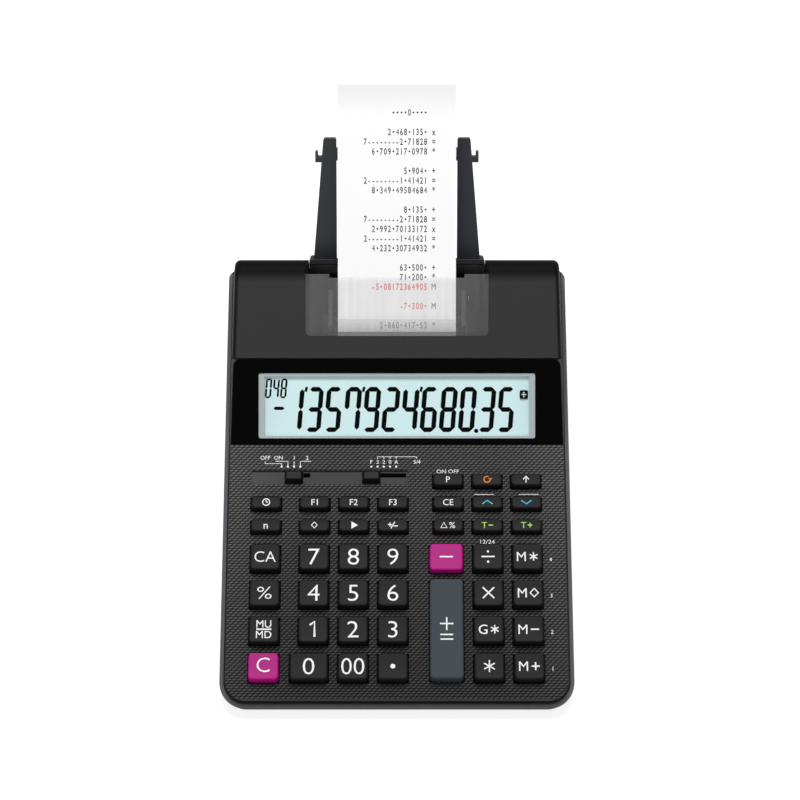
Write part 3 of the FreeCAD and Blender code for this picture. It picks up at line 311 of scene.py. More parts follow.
def joined(name, pieces):
    """Several meshes as one piece."""
    deselect()
    for piece in pieces:
        piece.select_set(True)
    bpy.context.view_layer.objects.active = pieces[0]
    if len(pieces) > 1:
        bpy.ops.object.join()
    whole = bpy.context.object
    whole.name = name
    return whole


def copy_of(piece):
    """A second piece with a mesh of its own."""
    copy = piece.copy()
    copy.data = piece.data.copy()
    bpy.context.collection.objects.link(copy)
    return copy


def dress(piece, material):
    piece.data.materials.clear()
    piece.data.materials.append(material)


# Material helpers


def add_node(tree, kind, feeds, **settings):
    """A shader node with its settings, fed by sockets, amounts and plain values."""
    node = tree.nodes.new(f"ShaderNode{kind}")
    for name, setting in settings.items():
        setattr(node, name, setting)
    for label, source in feeds.items():
        if isinstance(source, Amount):
            source = source.socket
        if isinstance(source, bpy.types.NodeSocket):
            tree.links.new(source, node.inputs[label])
        else:
            node.inputs[label].default_value = source
    return node


class Amount:
    """A value in a shader that takes plain sums; a comparison gives 1 or 0."""

    def __init__(self, tree, socket):
        self.tree = tree
        self.socket = socket

    def of(self, operation, *sources):
        node = add_node(self.tree, "Math", dict(enumerate(sources)), operation=operation)
        return Amount(self.tree, node.outputs[0])

    def sum(self, operation, *others):
        return self.of(operation, self, *others)

    def __rsub__(self, other):
        return self.of("SUBTRACT", other, self)

    def __rtruediv__(self, other):
        return self.of("DIVIDE", other, self)

    __add__ = partialmethod(sum, "ADD")
    __sub__ = partialmethod(sum, "SUBTRACT")
    __mul__ = partialmethod(sum, "MULTIPLY")
    __truediv__ = partialmethod(sum, "DIVIDE")
    __abs__ = partialmethod(sum, "ABSOLUTE")
    __lt__ = partialmethod(sum, "LESS_THAN")
    __gt__ = partialmethod(sum, "GREATER_THAN")


def parts_of(tree, vector):
    """The X, Y and Z of a vector, as amounts."""
    return [Amount(tree, socket) for socket in add_node(tree, "SeparateXYZ", {0: vector}).outputs]


def turned(tree, place, plane):
    """Coordinates in a sloping plane's own directions."""
    feeds = {"Vector": place, "Location": plane.translation, "Rotation": plane.to_euler()}
    return add_node(tree, "Mapping", feeds, vector_type="TEXTURE").outputs[0]


def ramp(amount, start, end, first, last, shape="SMOOTHSTEP"):
    """An amount that goes from the first to the last as another goes from start to end."""
    feeds = {"Value": amount, "From Min": start, "From Max": end, "To Min": first, "To Max": last}
    node = add_node(amount.tree, "MapRange", feeds, interpolation_type=shape)
    return Amount(amount.tree, node.outputs["Result"])


def noise(tree, vector, scale):
    node = add_node(tree, "TexNoise", {"Vector": vector, "Scale": scale, "Detail": 3.0})
    return Amount(tree, node.outputs["Fac"])


def scaled(tree, colour, factor):
    """A colour multiplied by an amount."""
    return add_node(tree, "VectorMath", {0: colour, "Scale": factor}, operation="SCALE").outputs[0]


SOCKET_KINDS = {"Vector": "Vector", "Direction": "Vector", "Colour": "Color", "Face": "Color", "Edge": "Color"}


def group_of(name, inputs, outputs):
    """An empty shader group with named sockets, and its two ends."""
    group = bpy.data.node_groups.new(name, "ShaderNodeTree")
    for side, labels in (("INPUT", inputs), ("OUTPUT", outputs)):
        for label in labels:
            kind = SOCKET_KINDS.get(label, "Float")
            group.interface.new_socket(label, in_out=side, socket_type=f"NodeSocket{kind}")
    given = group.nodes.new("NodeGroupInput").outputs
    result = group.nodes.new("NodeGroupOutput").inputs
    return group, {label: Amount(group, given[label]) for label in inputs}, result


def once(build):
    """Builds a shader group when it is first asked for, and hands out the same one later."""

    def group():
        return bpy.data.node_groups.get(build.__name__) or build(build.__name__)

    return group


@once
def moulded_grain(name):
    """Fine spark-eroded grain with slow changes of shade and gloss, as on moulded plastic."""
    inputs = ("Vector", "Grain", "Colour", "Shade", "Gloss", "Gloss spread")
    group, given, result = group_of(name, inputs, ("Colour", "Roughness", "Height"))
    clouds_per_metre = 34.0
    vector = given["Vector"].socket
    fine = noise(group, vector, 1.0 / given["Grain"])
    swing = fine + noise(group, vector, clouds_per_metre) - 1.0
    shade = scaled(group, given["Colour"], swing * given["Shade"] + 1.0)
    rough = swing * given["Gloss spread"] + given["Gloss"]
    for label, socket in (("Colour", shade), ("Roughness", rough.socket), ("Height", fine.socket)):
        group.links.new(socket, result[label])
    return group


@once
def turned_faces(name):
    """Painted shade: one colour for the faces that look along a direction, another for those that turn away
    from it.
    """
    group, given, result = group_of(name, ("Vector", "Direction", "Face", "Edge"), ("Colour",))
    feeds = {0: given["Vector"], 1: given["Direction"]}
    along = add_node(group, "VectorMath", feeds, operation="DOT_PRODUCT").outputs["Value"]
    share = ramp(Amount(group, along), 0.86, 0.97, 0.0, 1.0, shape="LINEAR")
    mix = add_node(group, "Mix", {"Factor": share, "A": given["Edge"], "B": given["Face"]}, data_type="RGBA")
    group.links.new(mix.outputs["Result"], result["Colour"])
    return group


@once
def twill_emboss(name):
    """Rows of short slanted bumps, each row shifted by half a bump, as on an embossed key deck."""
    group, given, result = group_of(name, ("Vector", "Across", "Along", "Slant"), ("Height",))
    x, y = parts_of(group, given["Vector"])[:2]
    along = y / given["Along"]
    row = along.sum("FLOOR")
    rise = along - row
    shifted = row * 0.5 + (x / given["Across"] + rise * given["Slant"])
    humps = [(step * math.pi).sum("SINE") for step in (shifted.sum("FRACT"), rise)]
    height = (humps[0] * humps[1]).sum("POWER", 0.6)
    group.links.new(height.socket, result["Height"])
    return group


class Finish:
    """A material with moulded grain, and ways to vary it over a piece.

    The size and the depth of the grain are in millimetres.
    """

    def __init__(self, name, colour, gloss=0.5, grain=0.35, shade=0.10, spread=0.10, depth=None, sheen=None):
        self.material = bpy.data.materials.new(name)
        self.material.use_nodes = True
        self.tree = self.material.node_tree
        self.shader = self.tree.nodes["Principled BSDF"].inputs
        coordinates = add_node(self.tree, "TexCoord", {}).outputs
        self.place = coordinates["Object"]
        self.normal = coordinates["Normal"]
        feeds = {
            "Vector": self.place, "Grain": grain * MM, "Colour": (*colour, 1.0), "Shade": shade, "Gloss": gloss,
            "Gloss spread": spread,
        }
        self.grain = add_node(self.tree, "Group", feeds, node_tree=moulded_grain())
        self.height = Amount(self.tree, self.grain.outputs["Height"])
        self.link(self.grain.outputs["Colour"], "Base Color")
        self.link(self.grain.outputs["Roughness"], "Roughness")
        if sheen is not None:
            self.shader["Specular IOR Level"].default_value = sheen
        if depth is not None:
            self.bump(self.height, depth)

    def link(self, socket, label):
        self.tree.links.new(socket, self.shader[label])

    def bump(self, height, depth):
        node = add_node(self.tree, "Bump", {"Height": height, "Distance": depth * MM})
        self.link(node.outputs["Normal"], "Normal")

    def two_tone(self, face, edge, direction):
        """Paints shade: gives the faces that turn away from a direction a colour of their own."""
        feeds = {"Vector": self.normal, "Direction": direction, "Face": (*face, 1.0), "Edge": (*edge, 1.0)}
        faces = add_node(self.tree, "Group", feeds, node_tree=turned_faces())
        self.tree.links.new(faces.outputs["Colour"], self.grain.inputs["Colour"])

    def measured(self, plane=Matrix()):
        """A point's X, Y and Z in a sloping plane's own directions."""
        return parts_of(self.tree, turned(self.tree, self.place, plane))

    def shade(self, factor):
        """Multiplies the colour by an amount."""
        colour = self.shader["Base Color"].links[0].from_socket
        self.link(scaled(self.tree, colour, factor), "Base Color")

    def put_on(self, *names):
        """Gives the finish to CAD nodes."""
        for name in names:
            dress(NODES[name], self.material)


def plastic(name, colour, depth=0.02, sheen=0.22, **look):
    """Moulded plastic."""
    return Finish(name, colour, depth=depth, sheen=sheen, **look)


def deck_plastic(name, colour, edge_colour):
    """Upper-case plastic: an embossed deck with painted light and shade on its weave, painted shade on its
    walls, painted light towards the display and the sides, painted light and shade in the printer bay and a
    painted shadow in the switch recess.
    """
    size = sizes()
    finish = Finish(name, colour, gloss=0.52, grain=0.3, sheen=0.08)
    # Painted shade: walls that turn away from the deck's top, and the gap along the rim, get the darker edge
    # colour
    finish.two_tone(colour, edge_colour, square_to(size.deck_slope))
    place = turned(finish.tree, finish.place, deck_plane())
    x, y, z = parts_of(finish.tree, place)
    feeds = {"Vector": place, "Across": size.weave_across, "Along": size.weave_along, "Slant": -0.4}
    weave = add_node(finish.tree, "Group", feeds, node_tree=twill_emboss())
    half_width, front, tolerance = 79.6 * MM, 1.4 * MM, 0.08 * MM
    field = (abs(z) < tolerance) * (abs(x) < half_width) * (y > front)
    woven = Amount(finish.tree, weave.outputs["Height"]) * field
    grain_share = 0.06
    finish.bump(finish.height * grain_share + woven, 0.5)
    # Painted light and shade: the weave's bumps are painted lighter and its hollows darker
    painted_shade_contrast = 2.3
    paler_per_metre = 7.5
    bumps = (woven - field * 0.5) * painted_shade_contrast + 1.0
    # Painted light: the deck is painted lighter towards the display and towards its sides
    painted_light = (y * paler_per_metre + 1.0) * ramp(abs(x), 45 * MM, 82 * MM, 1.0, 1.4)
    # Painted light and shade in the printer bay: several times lighter below its top edge, black along its top
    # millimetre
    height = finish.measured()[2]
    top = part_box("upper_case")[1].z
    in_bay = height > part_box("display_panel")[1].z
    bay = in_bay * ramp(height, top - 2 * MM, top - 1 * MM, 5.0, -1.0) + 1.0
    finish.shade(bumps * painted_light * bay)
    # Painted shadow: a dark strip along the rear wall of the switch recess, below the deck's surface
    recess_shadow_box = ((x, -32.1, 38.0), (y, 113.4, 0.6), (z, -0.35, 0.3))
    inside = [part.sum("COMPARE", middle * MM, half * MM) for part, middle, half in recess_shadow_box]
    finish.shade(1.0 - inside[0] * inside[1] * inside[2] * 0.92)
    return finish


def tray_plastic(name, colour):
    """Lower-case plastic whose rim has a painted shadow in the gap along the upper case and painted light at
    the sides.
    """
    size = sizes()
    finish = plastic(name, colour, grain=0.4, sheen=0.08)
    x, y = finish.measured(deck_plane())[:2]
    radius = size.rim_corner
    across = abs(x) - (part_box("lower_case")[1].x - radius)
    along = (radius - size.rim) - y
    beyond = [side.sum("MAXIMUM", 0.0) for side in (across, along)]
    round_part = (beyond[0] * beyond[0] + beyond[1] * beyond[1]).sum("SQRT")
    reach = round_part + across.sum("MAXIMUM", along).sum("MINIMUM", 0.0)
    # Painted light on the rim's sides, and a painted shadow in the gap along the upper case, wider at the sides
    beside = ramp(across, radius - 6 * MM, radius - 2 * MM, 0.0, 1.0)
    gap_shadow = reach < beside * (0.35 * MM) + (radius - size.rim + 0.15 * MM)
    level = parts_of(finish.tree, finish.normal)[2] > 0.5
    darkest = 0.05
    finish.shade(((gap_shadow * -1.55 + beside * 0.6) * level + 1.0).sum("MAXIMUM", darkest))
    return finish


def smoked(name, colour):
    """Hazy smoked plastic that shows what lies behind it, with a hazier band of painted shade over the paper at
    its foot.
    """
    finish = Finish(name, colour, gloss=0.22, grain=0.6, shade=0.05, spread=0.05)
    plane = paper_plane()
    foot = span("tear_window", plane)[0].y
    x, y = finish.measured(plane @ at(0, foot, 0))[:2]
    # Painted shade: the window is hazier over the paper near its foot, which darkens the paper seen through it
    guide = (y < sizes().guide) * (abs(x) < span("paper_strip", plane)[1].x)
    streaked = add_node(finish.tree, "Mapping", {"Vector": finish.place, "Scale": (260, 18, 18)})
    haze = noise(finish.tree, streaked.outputs[0], 1.0) * 0.10 + 0.05
    finish.link((guide * 0.25 + haze).socket, "Alpha")
    return finish


def paper_sheet(name, colour):
    """Plain paper with a faint fibre, and painted shade that greys it a little at its free end."""
    finish = Finish(name, colour, gloss=0.7, grain=0.8, shade=0.03, spread=0.06, depth=0.01)
    finish.shade(ramp(finish.measured(paper_plane())[1], -18 * MM, 0.0, 1.0, 0.87))
    return finish


def display_glass(name, colour):
    """Pale display, a little darker along its edges, with painted light under its upper edge."""
    finish = Finish(name, colour, gloss=0.22, grain=3.0, shade=0.015, spread=0.03)
    low, high = span("lcd_glass", display_plane())
    middle = (low.y + high.y) / 2
    half = high.y - middle
    x, y = finish.measured(display_plane() @ at(0, middle, 0))[:2]
    edges = [(abs(part) / reach).sum("POWER", 14.0) for part, reach in ((x, high.x), (y, half))]
    finish.shade((edges[0] + edges[1]) * -0.2 + 1.0)
    # Painted light: lighter under the upper edge, where the frame's shadow falls
    finish.shade(ramp(y, 0.6 * half, half, 1.0, 1.15))
    return finish


def brushed_steel(name, colour):
    """Zinc-plated steel with a fine grain."""
    finish = Finish(name, colour, gloss=0.34, grain=0.2, shade=0.2, spread=0.2, depth=0.01)
    finish.shader["Metallic"].default_value = 1.0
    return finish


def ink(name, colour, gloss=0.45, sheen=0.15):
    """Printed legend ink with faint unevenness."""
    return plastic(name, colour, gloss=gloss, grain=0.15, depth=0.004, shade=0.06, spread=0.08, sheen=sheen)


class CALCULATOR_OT_case(bpy.types.Operator):
    """Gives the case, the cover and the parts inside their finishes"""

    bl_idname = "calculator.case"
    bl_label = "Case"

    def execute(self, context):
        tone = colours()
        deck_plastic("embossed_black", tone.case_black, tone.smooth_black).put_on("upper_case")
        self.cover(tone).put_on("printer_cover")
        tray_plastic("case_grey", tone.case_grey).put_on("lower_case", "battery_lid")
        plastic("rubber", tone.rubber_black, gloss=0.8, grain=0.5).put_on("rubber_feet", "feed_roller")
        plastic("mat_rubber", tone.mat_grey, gloss=0.7).put_on("key_mat")
        plastic("board", tone.board_green, gloss=0.3).put_on("main_board")
        plastic("inside_black", tone.inside_black, gloss=0.6).put_on("printer_frame")
        plastic("arm_grey", tone.arm_grey, gloss=0.42, grain=0.3).put_on("paper_arms")
        return {"FINISHED"}

    def cover(self, tone):
        """Grained cover plastic with painted shade on its edges, darkest on its rounded rear edge."""
        finish = plastic("cover_black", tone.cover_black, gloss=0.6, sheen=0.06)
        finish.two_tone(tone.cover_black, tone.smooth_black, square_to(sizes().cover_slope))
        # Painted shade: the rounded rear edge is darkened, and the rear wall behind it is brought most of the
        # way back
        y = finish.measured()[1]
        face = ramp(y, 57 * MM, 62.5 * MM, 1.0, 0.05)
        rear_wall = ramp(y, 70.5 * MM, 73.5 * MM, 0.0, 0.9)
        finish.shade(face + rear_wall)
        return finish


class CALCULATOR_OT_keys(bpy.types.Operator):
    """Gives the keys and the slide switches their finishes"""

    bl_idname = "calculator.keys"
    bl_label = "Keys"

    def execute(self, context):
        tone = colours()
        top = square_to(sizes().deck_slope)
        for nodes, name, face, edge in (
            (KEY_NODES, "key_dark", tone.key_dark, tone.smooth_black),
            (["key_clear", "key_minus"], "key_red", tone.key_red, tone.key_red_side),
            (["key_plus_equals"], "key_blue", tone.key_blue, tone.key_blue),
            (["mode_slider", "decimal_slider"], "switch_grey", tone.switch_grey, tone.smooth_black),
        ):
            finish = plastic(name, face, gloss=0.55, grain=0.25, depth=0.012, shade=0.06, sheen=0.08)
            # Painted shade: faces that turn away from the deck's top get the second colour, darker on the black
            # keys and switches, a colour of its own on the magenta keys
            finish.two_tone(face, edge, top)
            if name.startswith("key"):
                # Painted shade: the keys darken below the deck's surface
                below_deck_shade = ramp(finish.measured(deck_plane())[2], -0.4 * MM, 0.2 * MM, 0.04, 1.0)
                finish.shade(below_deck_shade)
            finish.put_on(*nodes)
        return {"FINISHED"}


# Legends: figures are set as type, signs are drawn as lines


def ray(degrees, reach):
    """A point at an angle and a distance from the origin."""
    turn = math.radians(degrees)
    return reach * math.cos(turn), reach * math.sin(turn)


CIRCLE = [ray(turn, 0.5) for turn in range(0, 360, 15)]
# The lines of each drawn sign, in shares of its height
SIGNS = {
    "minus": [[(-0.42, 0), (0.42, 0)]],
    "plus": [[(-0.42, 0), (0.42, 0)], [(0, -0.42), (0, 0.42)]],
    "equals": [[(-0.4, 0.15), (0.4, 0.15)], [(-0.4, -0.15), (0.4, -0.15)]],
    "times": [[(-0.34, -0.34), (0.34, 0.34)], [(-0.34, 0.34), (0.34, -0.34)]],
    "star": [[ray(turn + 180, 0.45), ray(turn, 0.45)] for turn in (30, 90, 150)],
    "diamond": [[(-0.42, 0), (0, 0.45), (0.42, 0), (0, -0.45)]],
    "up": [[(-0.8, -0.3), (0, 0.3), (0.8, -0.3)]],
    "down": [[(-0.8, 0.3), (0, -0.3), (0.8, 0.3)]],
    "triangle": [[(-0.55, -0.5), (0, 0.5), (0.55, -0.5)]],
    "slash": [[(-0.28, -0.5), (0.28, 0.5)]],
    "one": [[(-0.2, 0.25), (0.08, 0.46), (0.08, -0.46)]],
    "rule": [[(-0.5, 0), (0.5, 0)]],
    "clock": [CIRCLE, [(0, 0.3), (0, 0), (0.22, 0)]],
    "feed": [[(-0.4, 0), (0, 0.5), (0.4, 0)], [(0, -0.5), (0, 0.45)]],
    "again": [[ray(turn, 0.5) for turn in range(60, 361, 20)], [(0.28, 0.2), (0.5, -0.02), (0.75, 0.2)]],
}
CLOSED_SIGNS = ("diamond", "triangle")
SIGN_WEIGHTS = {"one": 1.45, "star": 0.85}


def draw_sign(name, height, width, thickness):
    """A sign as a list of thin pieces round the origin."""
    if name == "divide":
        spots = [dot(0, side * 0.34 * height, width * 0.75, thickness) for side in (-1, 1)]
        return draw_sign("minus", height, width, thickness) + spots
    if name == "point":
        return [dot(0, 0, height * 0.16, thickness)]
    if name == "play":
        wedge = cylinder(3, height * 0.55, thickness)
        wedge.data.transform(Matrix.Rotation(math.radians(-90), 4, "Z"))
        return [wedge]
    made = []
    for line in SIGNS[name]:
        points = [(x * height, y * height) for x, y in line]
        closed = name in CLOSED_SIGNS or line == CIRCLE
        made.append(stroke(points, width * SIGN_WEIGHTS.get(name, 1.0), thickness, closed))
    return made


def words(text, height=1.0, across=0.0, up=0.0, wide=1.0):
    """Type on a key."""
    return "text", text, height, across, up, wide


def sign(name, height=1.0, across=0.0, up=0.0):
    """A drawn sign on a key."""
    return "sign", name, height, across, up, 1.0


def letter_and(letter, name, left=0.34, right=0.36):
    """A letter with a sign beside it."""
    return [words(letter, 0.57, -left), sign(name, 0.57, right)]


FIGURES = ("zero", "one", "two", "three", "four", "five", "six", "seven", "eight", "nine")
# What stands on each key; heights and offsets are shares of the key's legend height
LEGENDS = {
    **{name: [words(str(number), wide=1.1)] for number, name in enumerate(FIGURES)},
    "one": [sign("one")],
    "double_zero": [words("00")],
    "point": [sign("point", 0.9)],
    "clear": [words("C", 0.88, 0, 0.08)],
    "clear_all": [words("CA", 0.66)],
    "percent": [words("%", 0.74, wide=1.3)],
    "mark_up": [words("MU", 0.44, 0, 0.32), sign("rule", 0.88), words("MD", 0.44, 0, -0.32)],
    "minus": [sign("minus", 0.93)],
    "plus_equals": [sign("plus", 0.93, 0, 0.29), sign("equals", 0.93, 0, -0.51)],
    "divide": [sign("divide", 0.93)],
    "times": [sign("times", 0.98)],
    "total": [sign("star", 0.8)],
    "grand_total": letter_and("G", "star", right=0.34),
    "memory_total": letter_and("M", "star", left=0.36),
    "memory_subtotal": letter_and("M", "diamond"),
    "memory_minus": letter_and("M", "minus"),
    "memory_plus": letter_and("M", "plus"),
    "item_count": [words("n", 1.2)],
    "subtotal": [sign("diamond", 1.1)],
    "backspace": [sign("play", 1.25)],
    "sign_change": [sign("plus", 0.8, -0.45, 0.1), sign("slash", 1.1), sign("minus", 0.8, 0.45, -0.15)],
    "percent_change": [sign("triangle", 0.9, -0.7), words("%", 1.0, 0.6)],
    "tax_minus": [words("T", 1.0, -0.5), sign("minus", 0.9, 0.5)],
    "tax_plus": [words("T", 1.0, -0.5), sign("plus", 0.9, 0.5)],
    "time": [sign("clock", 1.1)],
    "cost": [words("F1")],
    "sell": [words("F2")],
    "margin": [words("F3")],
    "correct": [words("CE")],
    "check_up": [sign("up")],
    "check_down": [sign("down")],
    "print_mode": [words("P")],
    "reprint": [sign("again")],
    "paper_feed": [sign("feed", 1.1)],
}
COLOURED_LEGENDS = {
    "tax_minus": "green", "tax_plus": "green", "check_up": "cyan", "check_down": "cyan", "reprint": "orange",
}


class CALCULATOR_OT_legends(bpy.types.Operator):
    """Prints the figures and signs on the keys"""

    bl_idname = "calculator.legends"
    bl_label = "Legends"

    def execute(self, context):
        inks = {
            colour: ink(f"legend_{colour}", getattr(colours(), f"legend_{colour}")).material
            for colour in ("white", "orange", "green", "cyan")
        }
        small_key = 12 * MM
        for name, marks in LEGENDS.items():
            node = f"key_{name}"
            low, high = span(node, deck_plane())
            legend = joined(f"legend_{name}", self.marks(marks, high.y - low.y < small_key))
            middle = (low + high) / 2
            place = deck_plane() @ at(middle.x, middle.y, high.z)
            lay_on(legend, surface_of(node), place, sizes().ink)
            dress(legend, inks[COLOURED_LEGENDS.get(name, "white")])
            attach(legend, node)
        return {"FINISHED"}

    def marks(self, marks, small):
        """The type and the signs of one key, as flat pieces round the origin."""
        thickness = sizes().ink
        unit = sizes().small_legend if small else sizes().legend
        width = unit * (0.17 if small else 0.092)
        pieces = []
        for kind, what, share, across, up, wide in marks:
            if kind == "text":
                bold = 0.0 if small or share < 0.6 else -0.012
                made = [lettering(what, share * unit, thickness, bold=bold, wide=wide)]
            else:
                made = draw_sign(what, share * unit, width, thickness)
            pieces += [moved(piece, across * unit, up * unit) for piece in made]
        return pieces


DISPLAY_INK = 0.04 * MM
SEGMENT_ENDS = {
    "a": ((-1, 1), (1, 1)), "b": ((1, 1), (1, 0)), "c": ((1, 0), (1, -1)), "d": ((-1, -1), (1, -1)),
    "e": ((-1, 0), (-1, -1)), "f": ((-1, 1), (-1, 0)), "g": ((-1, 0), (1, 0)),
}
LIT_SEGMENTS = {
    "0": "abcdef", "1": "bc", "2": "abged", "3": "abgcd", "4": "fgbc", "5": "afgcd", "6": "afgedc", "7": "abcf",
    "8": "abcdefg", "9": "abcdfg",
}


class CALCULATOR_OT_display(bpy.types.Operator):
    """Finishes the display and builds its figures"""

    bl_idname = "calculator.display"
    bl_label = "Display"

    def execute(self, context):
        tone = colours()
        panel = plastic(
            "panel_black", tone.panel_black, gloss=0.14, grain=2.0, depth=0.002, spread=0.02, sheen=0.03)
        panel.put_on("display_panel")
        plastic("frame_grey", tone.frame_grey, gloss=0.4).put_on("lcd_frame")
        display_glass("display_pale", tone.display_pale).put_on("lcd_glass")
        low, high = span("lcd_glass", display_plane())
        above_glass = 0.03 * MM
        glass = display_plane() @ at(0, (low.y + high.y) / 2, high.z + above_glass)
        dark = self.large_figures() + self.small_figures()
        square, sign_on_square = self.sign_box()
        figures = joined("display_figures", dark + square)
        pale = joined("display_sign", sign_on_square)
        for piece, lift, finish in (
            (figures, 0.0, ink("display_ink", tone.display_ink, gloss=0.6, sheen=0.02)),
            (pale, DISPLAY_INK, ink("display_sign", tone.display_pale, gloss=0.6)),
        ):
            settle(piece, glass @ at(0, 0, lift))
            dress(piece, finish.material)
            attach(piece, "case")
        return {"FINISHED"}

    def large_figures(self):
        """The number on the display, with its minus, separators and point."""
        pitch = sizes().digit_pitch
        tall = sizes().digit_height
        right = 52.3 * MM
        middle = -1.75 * MM
        separator = [(0.62 * pitch, 0.56 * tall), (0.55 * pitch, 0.44 * tall)]
        separator_width = 1.3 * MM
        bar_width = 2.25 * MM
        point_radius = 1.05 * MM
        figures = "135792468035"
        made = []
        for index, figure in enumerate(figures):
            x = right - (len(figures) - 1 - index) * pitch
            made += [moved(bar, x, middle) for bar in self.figure(figure, pitch * 0.60, tall, bar_width)]
            if index in (0, 3, 6):
                made.append(moved(stroke(separator, separator_width, DISPLAY_INK), x, middle))
        made.append(dot(right - 1.55 * pitch, middle - 0.53 * tall, point_radius, DISPLAY_INK))
        minus = self.segment(5.2 * MM, 1.6 * MM)
        made.append(moved(minus, -56.6 * MM, -1.2 * MM))
        return made

    def small_figures(self):
        """The three figures of the counter above the minus."""
        left, pitch, up = -61.6, 3.65, 8.4
        width, height, bar_width = 2.1 * MM, 8.6 * MM, 0.95 * MM
        made = []
        for index, figure in enumerate("048"):
            bars = self.figure(figure, width, height, bar_width)
            made += [moved(bar, (left + index * pitch) * MM, up * MM) for bar in bars]
        return made

    def sign_box(self):
        """A small dark square, and the division sign on it."""
        x, y = 60.9 * MM, 5.4 * MM
        square = moved(plate(3.9 * MM, 4.1 * MM, DISPLAY_INK, 0.7 * MM), x, y)
        divide = draw_sign("divide", 2.6 * MM, 0.5 * MM, DISPLAY_INK / 2)
        return [square], [moved(piece, x, y) for piece in divide]

    def figure(self, figure, width, height, bar_width):
        """The lit segments of one display figure, leaning to the right."""
        half = Matrix.Diagonal((width / 2, height / 2, 1))
        gap = 0.12 * MM
        lean = Matrix.Identity(4)
        lean[0][1] = 0.083
        pieces = []
        for name in LIT_SEGMENTS[figure]:
            start, end = (half @ Vector((*point, 0)) for point in SEGMENT_ENDS[name])
            run = end - start
            bar = self.segment(run.length - gap, bar_width)
            turn = Matrix.Rotation(math.atan2(run.y, run.x), 4, "Z")
            bar.data.transform(lean @ Matrix.Translation((start + end) / 2) @ turn)
            pieces.append(bar)
        return pieces

    def segment(self, reach, width):
        """One bar with pointed ends."""
        bar = block(reach - width, width, DISPLAY_INK)
        mode("EDIT")
        bpy.ops.mesh.select_all(action="DESELECT")
        mode("OBJECT")
        point_share = 0.08
        for side in (-1, 1):
            for face in bar.data.polygons:
                face.select = face.normal.x * side > 0.9
            mode("EDIT")
            bpy.ops.mesh.select_mode(type="FACE")
            bpy.ops.mesh.extrude_region_move(TRANSFORM_OT_translate={"value": (side * width / 2, 0, 0)})
            bpy.ops.transform.resize(value=(1, point_share, 1))
            bpy.ops.mesh.select_all(action="DESELECT")
            mode("OBJECT")
        return bar


# Lines on the paper from its free end: figures, and a mark after a space
PRINTED_LINES = (
    "....0....", "", "2.468.135. x", "7--------2.71828 =", "6.709.217.0978 *", "", "5.904. +",
    "2--------1.41421 =", "8.349.49584684 *", "", "8.135. +", "7--------2.71828 =", "2.992.70133172 x",
    "2--------1.41421 =", "4.232.30734932 *", "", "63.500. +", "71.200. *", "-5.08172364905 M", "", "-7.300. M",
    "", "2.860.417.53 *",
)
PAPER_INK = 0.03 * MM


class CALCULATOR_OT_printer(bpy.types.Operator):
    """Finishes the window and the paper and prints the figures on it"""

    bl_idname = "calculator.printer"
    bl_label = "Printer"

    def execute(self, context):
        tone = colours()
        smoked("smoked_window", tone.window_smoke).put_on("tear_window")
        paper_sheet("paper", tone.paper_white).put_on("paper_strip")
        high = span("paper_strip", paper_plane())[1]
        printed = self.printed_lines(high.y)
        above_paper = 0.02 * MM
        for name, colour in (("paper_print", tone.print_black), ("paper_print_red", tone.print_red)):
            piece = joined(name, printed[name])
            settle(piece, paper_plane() @ at(0, 0, high.z + above_paper))
            dress(piece, ink(name, colour, gloss=0.7).material)
            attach(piece, "paper")
        return {"FINISHED"}

    def printed_lines(self, end):
        """The figures and marks of all lines, sorted by the piece that they belong to."""
        first_line = 2.9
        last_figure = 13.7 * MM
        mark_place = 17.6 * MM
        glyphs = {}
        printed = {"paper_print": [], "paper_print_red": []}
        for number, line in enumerate(PRINTED_LINES):
            figures, _, mark = line.partition(" ")
            y = end - (first_line + number) * sizes().line_pitch
            name = "paper_print_red" if figures.startswith("-") else "paper_print"
            for index, letter in enumerate(reversed(figures)):
                x = last_figure - index * sizes().print_pitch
                printed[name].append(self.glyph(glyphs, letter, x, y))
            if mark:
                printed["paper_print"].append(self.glyph(glyphs, mark, mark_place, y))
        for pattern in glyphs.values():
            bpy.data.objects.remove(pattern)
        return printed

    def glyph(self, glyphs, letter, x, y):
        """A copy of one narrow printed figure at its place on the paper."""
        narrow = 0.68
        if letter not in glyphs:
            if letter == ".":
                glyphs[letter] = dot(0, 0, 0.45 * MM, PAPER_INK)
            else:
                bold = 0.0 if letter in "M4" else 0.02
                glyphs[letter] = lettering(letter, sizes().print_height, PAPER_INK, bold=bold, wide=narrow)
        return moved(copy_of(glyphs[letter]), x, y)


MARK_INK = 0.05 * MM
SWITCH_STEP = 2.97


